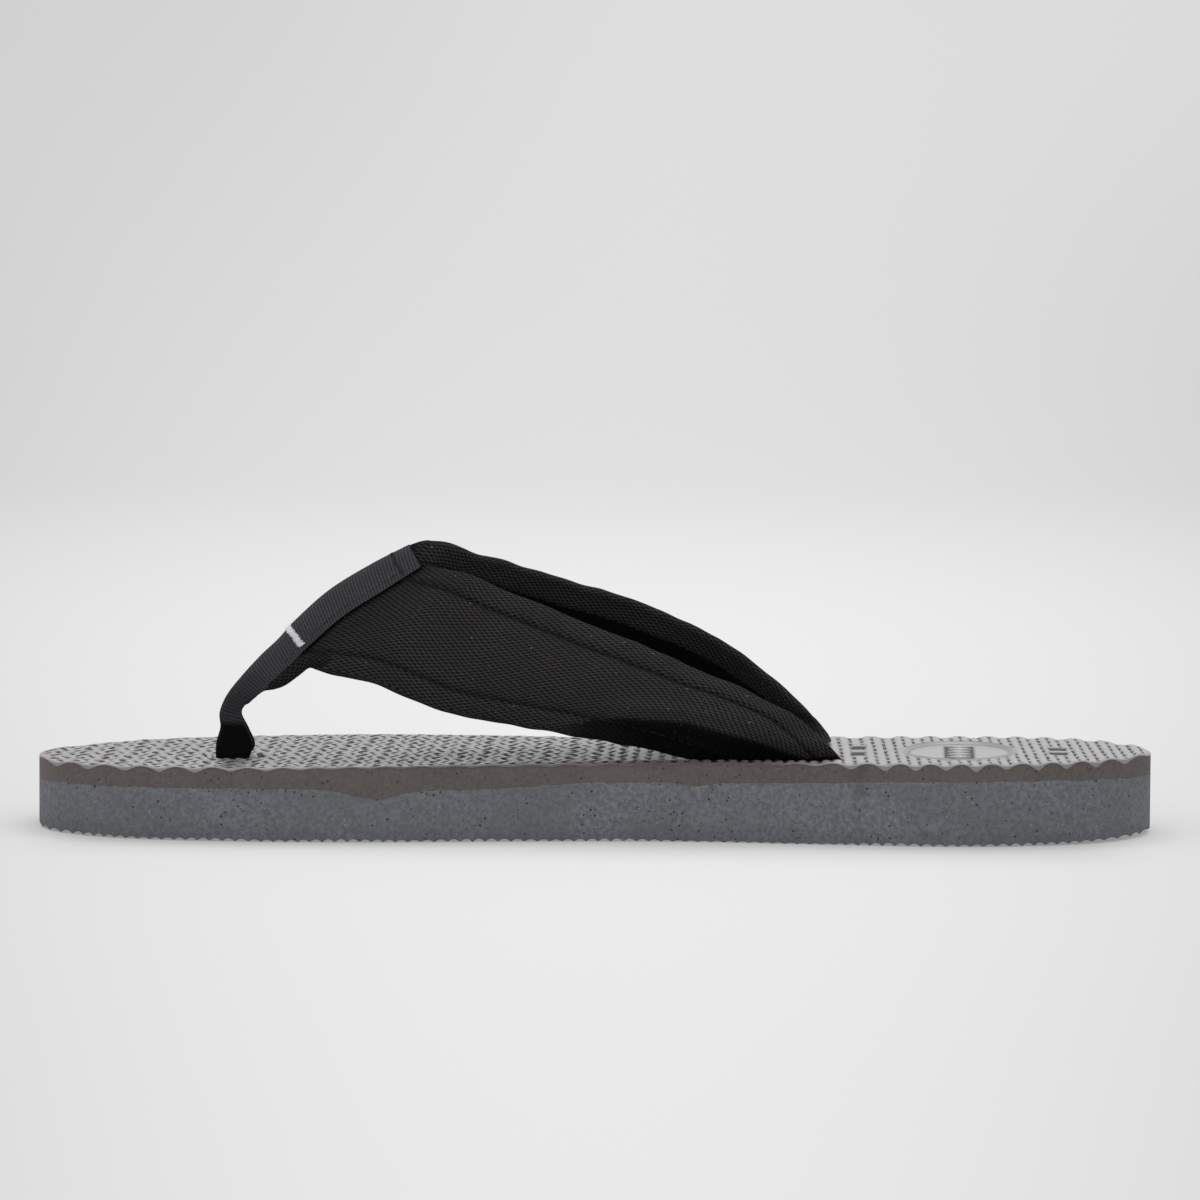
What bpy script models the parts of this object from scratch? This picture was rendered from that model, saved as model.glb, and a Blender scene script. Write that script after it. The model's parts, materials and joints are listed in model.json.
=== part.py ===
"""A right-foot flip flop: a two-layer foam sole, a padded canvas strap and a folded toe tape.

Frame: +Z up, toe towards -X, heel towards +X, arch (medial) side towards -Y. The origin is on
the ground, under the middle of the sole. Sizes are in millimetres; the meshes are in metres.
The strap has a medial and a lateral wing. Both start inside the folded toe tape and end on the
sole, where an anchor web goes down a slot to a rubber plug in the underside.
"""
import math

import bmesh
import bpy
import numpy as np
from mathutils import Vector

MM = 0.001

# ---- Driving dimensions ----
SOLE_LENGTH = 280.0
FOOTBED_THICKNESS = 3.6
GAP = 0.3                     # clearance between pieces that touch
FLEX_X = -48.0                # the line across the ball of the foot where the sole bends
# thickness of the whole sole at places along its length: (x, height of the top)
TOP_PROFILE = ((-140.0, 16.9), (-110.0, 17.2), (-60.0, 17.6), (0.0, 18.0), (60.0, 19.2), (140.0, 19.8))
# the sole's edge from the toe tip along the arch side to the heel tip and back
OUTLINE = (
    (-140.0, -6.4), (-137.0, -23.5), (-130.0, -34.9), (-115.0, -44.3), (-90.0, -48.8), (-60.0, -48.3),
    (-30.0, -44.1), (0.0, -39.8), (30.0, -38.1), (60.0, -40.8), (90.0, -42.2), (112.0, -37.6),
    (128.0, -28.6), (137.0, -15.9), (140.0, -2.0), (137.0, 14.0), (128.0, 29.0), (112.0, 37.6),
    (90.0, 38.8), (60.0, 37.0), (30.0, 38.6), (0.0, 42.2), (-30.0, 47.0), (-60.0, 48.8),
    (-90.0, 43.4), (-115.0, 34.2), (-130.0, 20.7), (-137.0, 8.1),
)
OUTLINE_STEPS = 3             # points per stretch of the outline

# toe tape: its front and rear edge in side view, from the hole in the sole up to the strap's peak
TAPE_FRONT = (
    (-93.6, 9.8), (-94.4, 17.3), (-94.2, 21.5), (-93.8, 25.5), (-93.7, 29.0), (-92.0, 33.0), (-88.3, 37.8),
    (-83.4, 43.2), (-79.2, 47.2), (-74.8, 52.1), (-66.3, 59.7), (-56.2, 66.0), (-46.6, 71.0),
)
TAPE_REAR = (
    (-85.9, 9.8), (-85.3, 17.3), (-85.4, 20.6), (-87.2, 24.8), (-88.3, 28.4), (-86.3, 31.6), (-80.9, 33.8),
    (-75.2, 36.2), (-73.2, 41.0), (-70.4, 46.2), (-61.7, 54.0), (-52.4, 59.8), (-43.4, 65.6),
)
TAPE_RINGS = 37
TAPE_INNER_HALF = 2.0         # half the gap inside the folded tape
TAPE_THICKNESS = 0.7
CORE_HALF = 0.35              # the flat inner web, where the strap's wings lie beside it
POST_CORE_HALF = 1.55         # the same web below the wings, where it fills the fold
WING_START = 22               # the ring where the wings begin
CORE_FROM = 0.25              # where the web lies in the fold, as shares of the fold's depth
CORE_TO = 0.95
NOSE_DEPTH = 1.6              # how far back the fold's rounded nose reaches
NOSE_SHOULDER = 0.5           # how far back its corner point lies
FRONT_TACK_RING = 26          # the rings that the bar tacks lie on
TOP_TACK_RING = TAPE_RINGS - 3
TACK_WIDTH = 1.5
TACK_THICKNESS = 0.5
TACK_COVER = 0.92             # share of the tape's depth that a tack covers

WING_ROOT = 1.45              # outer face of a wing where it is sewn into the tape
# strap wings: (x, distance out from the tape's middle plane, height), from the tape to the sole;
# the last height is above the sole's own top
MEDIAL_LOWER = (
    (-77.2, WING_ROOT, 38.6), (-70.5, WING_ROOT, 39.4), (-56.0, 7.4, 37.0), (-37.0, 15.3, 30.5),
    (-15.0, 22.5, 26.8), (5.0, 28.5, 24.0), (19.0, 31.4, 21.7), (28.0, 29.3, None),
)
MEDIAL_MIDDLE = (
    (-63.5, WING_ROOT, 56.2), (-57.0, WING_ROOT, 53.5), (-45.0, 8.0, 51.0), (-26.0, 16.2, 45.0),
    (-5.0, 24.0, 39.5), (16.0, 31.1, 34.0), (34.0, 35.4, 27.5), (45.0, 31.5, None),
)
MEDIAL_UPPER = (
    (-47.0, WING_ROOT, 68.2), (-41.5, WING_ROOT, 66.2), (-31.0, 6.4, 63.8), (-14.0, 12.9, 57.6),
    (6.0, 20.6, 50.6), (28.0, 27.8, 42.1), (48.0, 33.3, 32.5), (61.0, 32.1, None),
)
LATERAL_LOWER = (
    (-77.2, WING_ROOT, 38.6), (-70.5, WING_ROOT, 39.6), (-56.0, 8.0, 38.0), (-37.0, 17.0, 33.0),
    (-15.0, 25.0, 29.5), (4.0, 30.0, 26.0), (17.0, 31.5, 22.5), (26.0, 28.5, None),
)
LATERAL_MIDDLE = (
    (-63.5, WING_ROOT, 56.2), (-54.6, WING_ROOT, 56.0), (-45.0, 8.0, 54.0), (-26.0, 18.0, 49.0),
    (-5.0, 26.0, 43.5), (14.0, 31.5, 37.0), (31.0, 33.5, 28.5), (42.0, 28.0, None),
)
LATERAL_UPPER = (
    (-47.0, WING_ROOT, 68.9), (-38.0, WING_ROOT, 71.8), (-29.5, 7.8, 68.5), (-14.0, 15.9, 63.5),
    (6.0, 22.4, 56.4), (28.5, 27.2, 46.8), (46.5, 28.5, 34.3), (58.5, 25.6, None),
)
WING_COLUMNS = 15             # points along a wing
WING_ROWS = 7                 # points across it
# each layer: how deep under the outer face it starts, and its thickness
OUTER_LAYER = (0.0, 0.8)
PADDING_LAYER = (1.1, 1.0)
LINING_LAYER = (2.4, 0.5)
PADDING_TRIM = 3              # grid cells by which the padding and lining stop short at the tape

# plugs under the sole and the webs that join them to the strap
TURNED_STEPS = 24             # sides of a turned part
PLUG_HEAD_RADIUS = 9.0
PLUG_HEAD_LOW = 0.6
PLUG_HEAD_HIGH = 4.4
PLUG_STEM_RADIUS = 4.3
PLUG_STEM_HIGH = 9.2
ANCHOR_X = 45.0
WEB_WIDTH = 14.0
WEB_THICKNESS = 2.0
WEB_RISE = 0.2                # how far a web stands over the sole's top
ANCHOR_INSET = 1.2            # how far an anchor lies inside the wing's end
TOE_SLOT = (13.2, 7.2)        # length and width of the opening for the toe tape
SLOT_LOW = 8.0                # heights between which the slots are cut
SLOT_HIGH = 30.0
SLOT_END_POINTS = 7           # points round each end of a slot


# ---- Curves and surfaces ----
def smooth_curve(points, count, closed=False):
    """Points on a smooth curve through the given ones, evenly shared between its stretches."""
    known = np.array(points, dtype=float)
    stretches = len(known) if closed else len(known) - 1
    if closed:
        known = np.vstack([known[-1], known, known[0], known[1]])
    else:
        known = np.vstack([2 * known[0] - known[1], known, 2 * known[-1] - known[-2]])
    places = np.linspace(0, stretches, count, endpoint=not closed)
    result = []
    for place in places:
        index = min(int(place), stretches - 1)
        t = place - index
        a, b, c, d = known[index:index + 4]
        result.append(0.5 * (2 * b + (c - a) * t + (2 * a - 5 * b + 4 * c - d) * t ** 2
                             + (3 * b - a - 3 * c + d) * t ** 3))
    return np.array(result)


def sole_top(x):
    """Height of the sole's top face at x."""
    xs, heights = zip(*TOP_PROFILE)
    return float(np.interp(x, xs, heights))


def footbed_low(x):
    """Height of the footbed's underside at x."""
    return sole_top(x) - FOOTBED_THICKNESS


def fold_plane(x):
    """Y of the toe tape's middle plane, which runs from the toe hole to between the anchors."""
    return 0.1 * x - 4.0


def wing_edge(guide, side):
    """A smooth guide curve in the flip flop's frame; side is -1 for medial, 1 for lateral."""
    known = [(x, out, sole_top(x) + 2 * GAP if height is None else height) for x, out, height in guide]
    curve = smooth_curve(known, WING_COLUMNS)
    out = np.maximum(curve[:, 1], WING_ROOT)
    curve[:, 1] = fold_plane(curve[:, 0]) + side * out
    return curve


def wing_surface(guides, side):
    """Outer face of a wing as a grid of points, and its outward normals."""
    lower, middle, upper = (wing_edge(guide, side) for guide in guides)
    rows = []
    for v in np.linspace(0, 1, WING_ROWS):
        rows.append(lower * (1 - v) * (1 - 2 * v) + middle * 4 * v * (1 - v) + upper * v * (2 * v - 1))
    grid = np.array(rows).transpose(1, 0, 2)
    along = np.gradient(grid, axis=0)
    across = np.gradient(grid, axis=1)
    normals = np.cross(along, across) * -side
    normals /= np.linalg.norm(normals, axis=2, keepdims=True)
    return grid, normals


# ---- Objects ----
def clear_scene():
    """Remove everything that the scene starts with."""
    for obj in list(bpy.data.objects):
        bpy.data.objects.remove(obj, do_unlink=True)


def make_material(name, color, roughness):
    """A plain Principled material."""
    material = bpy.data.materials.new(name)
    material.use_nodes = True
    shader = material.node_tree.nodes["Principled BSDF"]
    shader.inputs["Base Color"].default_value = (*color, 1.0)
    shader.inputs["Roughness"].default_value = roughness
    shader.inputs["Metallic"].default_value = 0.0
    return material


def add_object(name, bm, material):
    """Turn a bmesh in millimetres into an object in metres, with its faces pointing out."""
    bmesh.ops.recalc_face_normals(bm, faces=bm.faces[:])
    bmesh.ops.scale(bm, vec=Vector((MM, MM, MM)), verts=bm.verts[:])
    mesh = bpy.data.meshes.new(name)
    bm.to_mesh(mesh)
    bm.free()
    obj = bpy.data.objects.new(name, mesh)
    if material is not None:
        mesh.materials.append(material)
    bpy.context.collection.objects.link(obj)
    return obj


def add_loft(name, rings, material):
    """A closed solid through a row of rings that all have the same number of points."""
    bm = bmesh.new()
    rows = [[bm.verts.new(point) for point in ring] for ring in rings]
    size = len(rows[0])
    for near, far in zip(rows, rows[1:]):
        for i in range(size):
            j = (i + 1) % size
            bm.faces.new((near[i], near[j], far[j], far[i]))
    bm.faces.new(rows[0])
    bm.faces.new(rows[-1])
    return add_object(name, bm, material)


def add_turned(name, profile, centre, material):
    """A solid of revolution about a vertical axis, from (radius, height) points."""
    bm = bmesh.new()
    verts = [bm.verts.new((radius, 0.0, height)) for radius, height in profile]
    edges = [bm.edges.new(pair) for pair in zip(verts, verts[1:])]
    bmesh.ops.spin(bm, geom=verts + edges, cent=(0, 0, 0), axis=(0, 0, 1), angle=math.tau, steps=TURNED_STEPS,
                   use_merge=True)
    bmesh.ops.remove_doubles(bm, verts=bm.verts[:], dist=0.001)
    bmesh.ops.translate(bm, vec=Vector((*centre, 0.0)), verts=bm.verts[:])
    return add_object(name, bm, material)


def add_slot_cutter(name, centre, length, width, low, high):
    """A cutter with the outline of a slot with round ends, along X."""
    bm = bmesh.new()
    radius = width / 2
    straight = length / 2 - radius
    ring = []
    for side in (1, -1):
        for step in range(SLOT_END_POINTS):
            angle = side * (math.pi / 2 - math.pi * step / (SLOT_END_POINTS - 1))
            ring.append((side * straight + side * radius * math.cos(angle), radius * math.sin(angle)))
    verts = [bm.verts.new((centre[0] + x, centre[1] + y, low)) for x, y in ring]
    base = bm.faces.new(verts)
    grown = bmesh.ops.extrude_face_region(bm, geom=[base], use_keep_orig=True)
    top = [v for v in grown["geom"] if isinstance(v, bmesh.types.BMVert)]
    bmesh.ops.translate(bm, vec=Vector((0, 0, high - low)), verts=top)
    cutter = add_object(name, bm, None)
    hide_cutter(cutter)
    return cutter


def hide_cutter(obj):
    """Mark an object as a guide that isn't part of the flip flop."""
    obj.hide_render = True
    obj.display_type = "WIRE"


def cut_with(obj, cutters):
    """Subtract each cutter from the object."""
    for cutter in cutters:
        boolean = obj.modifiers.new(cutter.name, "BOOLEAN")
        boolean.operation = "DIFFERENCE"
        boolean.solver = "EXACT"
        boolean.object = cutter


# ---- Sole ----
def add_sole_layer(name, low, high, front, material):
    """One end of one layer of the sole, between two height functions, up to the flex line."""
    bm = bmesh.new()
    outline = smooth_curve(OUTLINE, OUTLINE_STEPS * len(OUTLINE), closed=True)
    outline[:, 0] *= SOLE_LENGTH / (outline[:, 0].max() - outline[:, 0].min())
    bm.faces.new([bm.verts.new((x, y, 0.0)) for x, y in outline])
    for x, _ in TOP_PROFILE[1:-1]:
        bmesh.ops.bisect_plane(bm, geom=bm.verts[:] + bm.edges[:] + bm.faces[:],
                               plane_co=(x, 0, 0), plane_no=(1, 0, 0))
    cut = FLEX_X - GAP / 2 if front else FLEX_X + GAP / 2
    bmesh.ops.bisect_plane(bm, geom=bm.verts[:] + bm.edges[:] + bm.faces[:], plane_co=(cut, 0, 0),
                           plane_no=(1, 0, 0), clear_outer=front, clear_inner=not front)
    grown = bmesh.ops.extrude_face_region(bm, geom=bm.faces[:], use_keep_orig=True)
    top = [v for v in grown["geom"] if isinstance(v, bmesh.types.BMVert)]
    for vert in bm.verts:
        vert.co.z = low(vert.co.x)
    for vert in top:
        vert.co.z = high(vert.co.x)
    return add_object(name, bm, material)


def add_sole(foam, footbed):
    """The outsole and the footbed, each in two pieces that meet at the flex line."""
    def ground(_):
        return 0.0

    def outsole_top(x):
        return footbed_low(x) - GAP

    return {
        "outsole_front": add_sole_layer("outsole_front", ground, outsole_top, True, foam),
        "outsole_rear": add_sole_layer("outsole_rear", ground, outsole_top, False, foam),
        "footbed_front": add_sole_layer("footbed_front", footbed_low, sole_top, True, footbed),
        "footbed_rear": add_sole_layer("footbed_rear", footbed_low, sole_top, False, footbed),
    }


def plug_profile(slack=0.0):
    """Half section of a plug, or of the pocket it sits in when given some slack."""
    low = -1.0 if slack else PLUG_HEAD_LOW
    head = PLUG_HEAD_RADIUS + slack
    stem = PLUG_STEM_RADIUS + slack
    return ((0.0, low), (head, low), (head, PLUG_HEAD_HIGH + slack), (stem, PLUG_HEAD_HIGH + slack),
            (stem, PLUG_STEM_HIGH + slack), (0.0, PLUG_STEM_HIGH + slack))


def add_plug(name, centre, outsole, footbed, slot, material):
    """A rubber plug in its pocket, with the slot above it for the web or tape."""
    pocket = add_turned(name + "_pocket_cutter", plug_profile(GAP), centre, None)
    hide_cutter(pocket)
    opening = add_slot_cutter(name + "_slot_cutter", centre, slot[0], slot[1], SLOT_LOW, SLOT_HIGH)
    cut_with(outsole, [pocket, opening])
    cut_with(footbed, [opening])
    return add_turned(name, plug_profile(), centre, material)


# ---- Toe tape ----
def tape_edges():
    """Matched points of the tape's front and rear edge."""
    return smooth_curve(TAPE_FRONT, TAPE_RINGS), smooth_curve(TAPE_REAR, TAPE_RINGS)


def fold_ring(front, rear, inner, outer, cover=1.0, lift=0.0):
    """Section of a strip folded lengthwise over the front: a U that is open at the rear.

    inner and outer are half widths; cover is how far back it reaches; lift moves its nose forward.
    """
    depth = np.linalg.norm(rear - front)
    back = (rear - front) / depth
    wall = outer - inner
    end = cover * depth
    outer_corner = (NOSE_SHOULDER - lift, outer * 0.75)
    inner_corner = (NOSE_SHOULDER + wall - lift, inner * 0.7)
    inner_shoulder = NOSE_DEPTH + wall * 0.4
    shape = [(end, outer), (NOSE_DEPTH, outer), outer_corner, (-lift, 0.0),
             (outer_corner[0], -outer_corner[1]), (NOSE_DEPTH, -outer), (end, -outer),
             (end, -inner), (inner_shoulder, -inner), (inner_corner[0], -inner_corner[1]),
             (wall - lift, 0.0), inner_corner, (inner_shoulder, inner), (end, inner)]
    ring = []
    for reach, out in shape:
        x, z = front + back * reach
        ring.append((x, fold_plane(x) + out, z))
    return ring


def add_toe_tape(tape, thread, bright_thread):
    """The folded tape, the web inside it and the two bar tacks across it."""
    front, rear = tape_edges()
    outer = TAPE_INNER_HALF + TAPE_THICKNESS
    rings = [fold_ring(f, r, TAPE_INNER_HALF, outer) for f, r in zip(front, rear)]
    add_loft("toe_tape_outer", rings, tape)

    core = []
    for index, (f, r) in enumerate(zip(front, rear)):
        half = POST_CORE_HALF if index < WING_START - 2 else CORE_HALF
        near = f + (r - f) * CORE_FROM
        far = f + (r - f) * CORE_TO
        core.append([(x, fold_plane(x) + out, z) for (x, z), out in
                     ((near, half), (far, half), (far, -half), (near, -half))])
    add_loft("toe_tape_core", core, tape)

    add_tack("front_bar_tack", front, rear, FRONT_TACK_RING, bright_thread)
    add_tack("top_bar_tack", front, rear, TOP_TACK_RING, thread)


def add_tack(name, front, rear, index, material):
    """A dense row of thread over the tape, a saddle across it at the given ring."""
    inner = TAPE_INNER_HALF + TAPE_THICKNESS + GAP
    along = front[index + 1] - front[index]
    along /= np.linalg.norm(along)
    outer = inner + TACK_THICKNESS
    rings = [fold_ring(front[index] + along * shift, rear[index] + along * shift, inner, outer,
                       cover=TACK_COVER, lift=GAP + TACK_THICKNESS)
             for shift in (-TACK_WIDTH / 2, TACK_WIDTH / 2)]
    add_loft(name, rings, material)


# ---- Strap wings ----
def add_layer(name, grid, normals, layer, trim, material):
    """A sheet of the wing at its depth under the outer face, thickened by a Solidify modifier."""
    depth, thickness = layer
    grid = grid[trim:] - normals[trim:] * (depth + thickness / 2)
    columns, rows = grid.shape[:2]
    bm = bmesh.new()
    verts = [[bm.verts.new(point) for point in column] for column in grid]
    for i in range(columns - 1):
        for j in range(rows - 1):
            bm.faces.new((verts[i][j], verts[i + 1][j], verts[i + 1][j + 1], verts[i][j + 1]))
    obj = add_object(name, bm, material)
    solid = obj.modifiers.new("thickness", "SOLIDIFY")
    solid.thickness = thickness * MM
    solid.offset = 0.0
    solid.use_even_offset = True
    return obj


def add_wing(side_name, side, guides, canvas, padding, lining):
    """One wing of the strap: canvas outside, foam inside, lining next to the foot."""
    grid, normals = wing_surface(guides, side)
    add_layer(side_name + "_strap_outer", grid, normals, OUTER_LAYER, 0, canvas)
    inner_rows = slice(1, -1)
    add_layer(side_name + "_strap_padding", grid[:-1, inner_rows], normals[:-1, inner_rows],
              PADDING_LAYER, PADDING_TRIM, padding)
    add_layer(side_name + "_strap_lining", grid, normals, LINING_LAYER, PADDING_TRIM, lining)


def add_anchor_web(name, centre, material):
    """The flat web that runs from a wing's end down its slot to the plug."""
    low = PLUG_STEM_HIGH + GAP
    high = sole_top(centre[0]) + WEB_RISE
    x, y = centre
    dx = WEB_WIDTH / 2
    dy = WEB_THICKNESS / 2
    rings = [[(x - dx, y - dy, z), (x + dx, y - dy, z), (x + dx, y + dy, z), (x - dx, y + dy, z)]
             for z in (low, high)]
    return add_loft(name, rings, material)


def main():
    """Build the flip flop."""
    clear_scene()
    foam = make_material("outsole_foam", (0.105, 0.125, 0.145), 0.75)
    footbed = make_material("footbed_foam", (0.15, 0.14, 0.14), 0.6)
    canvas = make_material("canvas", (0.02, 0.02, 0.022), 0.9)
    padding = make_material("strap_foam", (0.10, 0.10, 0.10), 0.95)
    lining = make_material("lining", (0.015, 0.015, 0.016), 0.85)
    tape = make_material("grosgrain_tape", (0.035, 0.035, 0.04), 0.6)
    rubber = make_material("plug_rubber", (0.03, 0.03, 0.032), 0.6)
    thread = make_material("black_thread", (0.02, 0.02, 0.02), 0.6)
    bright_thread = make_material("white_thread", (0.75, 0.74, 0.72), 0.6)

    sole = add_sole(foam, footbed)
    toe_x = float(TAPE_FRONT[0][0] + TAPE_REAR[0][0]) / 2
    add_plug("toe_plug", (toe_x, fold_plane(toe_x)), sole["outsole_front"], sole["footbed_front"],
             TOE_SLOT, rubber)
    add_toe_tape(tape, thread, bright_thread)
    wings = (
        ("medial", -1, (MEDIAL_LOWER, MEDIAL_MIDDLE, MEDIAL_UPPER)),
        ("lateral", 1, (LATERAL_LOWER, LATERAL_MIDDLE, LATERAL_UPPER)),
    )
    for side_name, side, guides in wings:
        add_wing(side_name, side, guides, canvas, padding, lining)
        out = guides[1][-1][1] - ANCHOR_INSET
        centre = (ANCHOR_X, fold_plane(ANCHOR_X) + side * out)
        add_anchor_web(side_name + "_anchor_web", centre, tape)
        add_plug(side_name + "_plug", centre, sole["outsole_rear"], sole["footbed_rear"],
                 (WEB_WIDTH + WEB_THICKNESS + 2 * GAP, WEB_THICKNESS + 2 * GAP), rubber)


main()
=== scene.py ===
"""Looks of the right-foot flip flop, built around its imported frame.

The sole is two moulded foam sheets, the strap is two padded canvas wings that meet in a folded
grosgrain tape, and the underside has three rubber plugs. Shapes are worked out in millimetres, in
the frame's axes (toe towards -X, arch side towards -Y, +Z up), and meshes are made in metres.
"""
from __future__ import annotations

import json
import logging
import math
import random
from dataclasses import dataclass, field
from enum import Enum
from typing import Callable, Sequence

import bpy
import numpy as np
from mathutils import Matrix, Vector, noise

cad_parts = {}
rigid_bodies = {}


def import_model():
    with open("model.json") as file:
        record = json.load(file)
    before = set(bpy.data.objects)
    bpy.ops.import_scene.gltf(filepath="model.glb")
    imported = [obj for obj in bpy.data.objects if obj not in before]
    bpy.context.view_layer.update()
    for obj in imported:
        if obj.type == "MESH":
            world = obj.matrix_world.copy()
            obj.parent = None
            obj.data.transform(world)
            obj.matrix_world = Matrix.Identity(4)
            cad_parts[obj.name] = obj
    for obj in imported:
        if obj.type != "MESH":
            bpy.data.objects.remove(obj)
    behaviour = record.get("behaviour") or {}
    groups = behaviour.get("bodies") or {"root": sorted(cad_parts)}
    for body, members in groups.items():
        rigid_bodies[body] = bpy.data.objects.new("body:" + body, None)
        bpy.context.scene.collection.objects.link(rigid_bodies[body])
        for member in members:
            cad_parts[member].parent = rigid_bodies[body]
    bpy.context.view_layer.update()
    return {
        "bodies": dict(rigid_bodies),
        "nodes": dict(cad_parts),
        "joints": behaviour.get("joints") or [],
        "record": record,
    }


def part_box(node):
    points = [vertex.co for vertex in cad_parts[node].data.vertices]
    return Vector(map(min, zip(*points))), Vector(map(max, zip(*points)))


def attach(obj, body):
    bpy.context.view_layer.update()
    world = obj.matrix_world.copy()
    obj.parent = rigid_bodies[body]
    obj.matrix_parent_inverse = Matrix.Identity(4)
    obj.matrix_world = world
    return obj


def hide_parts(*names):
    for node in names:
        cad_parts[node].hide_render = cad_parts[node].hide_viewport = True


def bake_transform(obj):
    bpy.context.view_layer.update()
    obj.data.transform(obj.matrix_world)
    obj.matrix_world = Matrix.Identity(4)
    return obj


LOG = logging.getLogger("flip_flop")
MM = 0.001
Color = tuple[float, float, float]

FOREFOOT = "forefoot"
REARFOOT = "rearfoot"


class Side(Enum):
    """A wing of the strap; its value is the direction of its outer face along Y."""

    MEDIAL = -1
    LATERAL = 1


# ---------------------------------------------------------------------------------------------
# Curves
# ---------------------------------------------------------------------------------------------
def smooth_curve(points: Sequence[Sequence[float]], count: int, closed: bool = False) -> np.ndarray:
    """Points on a smooth curve through the given ones.

    Args:
        points: the known points.
        count: how many points come back, evenly shared between the stretches.
        closed: whether the curve returns to its first point.

    Returns:
        An array with one row for each point.
    """
    known = np.array(points, dtype=float)
    stretches = len(known) if closed else len(known) - 1
    if closed:
        known = np.vstack([known[-1], known, known[0], known[1]])
    else:
        known = np.vstack([2 * known[0] - known[1], known, 2 * known[-1] - known[-2]])
    place = np.linspace(0, stretches, count, endpoint=not closed)
    index = np.minimum(place.astype(int), stretches - 1)
    t = (place - index)[:, None]
    a, b, c, d = (known[index + k] for k in range(4))
    return 0.5 * (2 * b + (c - a) * t + (2 * a - 5 * b + 4 * c - d) * t ** 2
                  + (3 * b - a - 3 * c + d) * t ** 3)


def distance_along(curve: np.ndarray) -> np.ndarray:
    """Distance along a curve from its first point to each of its points."""
    return np.concatenate([[0.0], np.cumsum(np.linalg.norm(np.diff(curve, axis=0), axis=1))])


def points_at(places: np.ndarray | float, along: np.ndarray, curve: np.ndarray) -> np.ndarray:
    """The points of a curve at one or more distances along it."""
    return np.stack([np.interp(places, along, axis) for axis in curve.T], axis=-1)


def even_spacing(curve: np.ndarray, count: int) -> np.ndarray:
    """The same curve with its points evenly spaced along its length."""
    along = distance_along(curve)
    return points_at(np.linspace(0, along[-1], count), along, curve)


def together(*numbers: np.ndarray | float) -> np.ndarray:
    """Arrays of one number for each point, as one array that holds them all in its last axis."""
    return np.stack(np.broadcast_arrays(*numbers), axis=-1)


def ease(value: np.ndarray | float, low: float, high: float) -> np.ndarray:
    """0 below low, 1 above high and smooth between them; low may be the larger one."""
    t = np.clip((np.asarray(value, dtype=float) - low) / (high - low), 0.0, 1.0)
    return t * t * (3 - 2 * t)


def bump(value: np.ndarray | float, centre: float, width: float) -> np.ndarray:
    """A smooth hill of height 1 at centre."""
    return np.exp(-(((np.asarray(value, dtype=float) - centre) / width) ** 2))


def soft_noise(points: np.ndarray, scale: float, seed: float) -> np.ndarray:
    """Smooth noise from -1 to 1.

    Args:
        points: places in mm, with x, y, z in the last axis.
        scale: size of a lump in mm.
        seed: how far the noise is shifted, so that two uses differ.

    Returns:
        One value for each place.
    """
    flat = points.reshape(-1, 3) / scale
    values = [noise.noise(Vector((x + seed, y, z))) for x, y, z in flat]
    return np.array(values).reshape(points.shape[:-1])


# ---------------------------------------------------------------------------------------------
# Making meshes
# ---------------------------------------------------------------------------------------------
THREAD_SIDES = 6
THREAD_CUTS = 3
# how far along a stitch it narrows to its ends: at 2 it ends in a point
THREAD_TAPER = 1.86


def deselect_all() -> None:
    """Leave nothing selected, in object mode."""
    if bpy.context.object and bpy.context.object.mode != "OBJECT":
        bpy.ops.object.mode_set(mode="OBJECT")
    bpy.ops.object.select_all(action="DESELECT")


def activate(obj: bpy.types.Object) -> None:
    """Make an object the only selected one, and the active one.

    Args:
        obj: the object.
    """
    deselect_all()
    obj.select_set(True)
    bpy.context.view_layer.objects.active = obj


def set_attribute(obj: bpy.types.Object, name: str, values: np.ndarray) -> None:
    """Store one number for each vertex, for the object's material to read."""
    attribute = obj.data.attributes.new(name, "FLOAT", "POINT")
    attribute.data.foreach_set("value", values.astype(np.float32).ravel())


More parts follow.
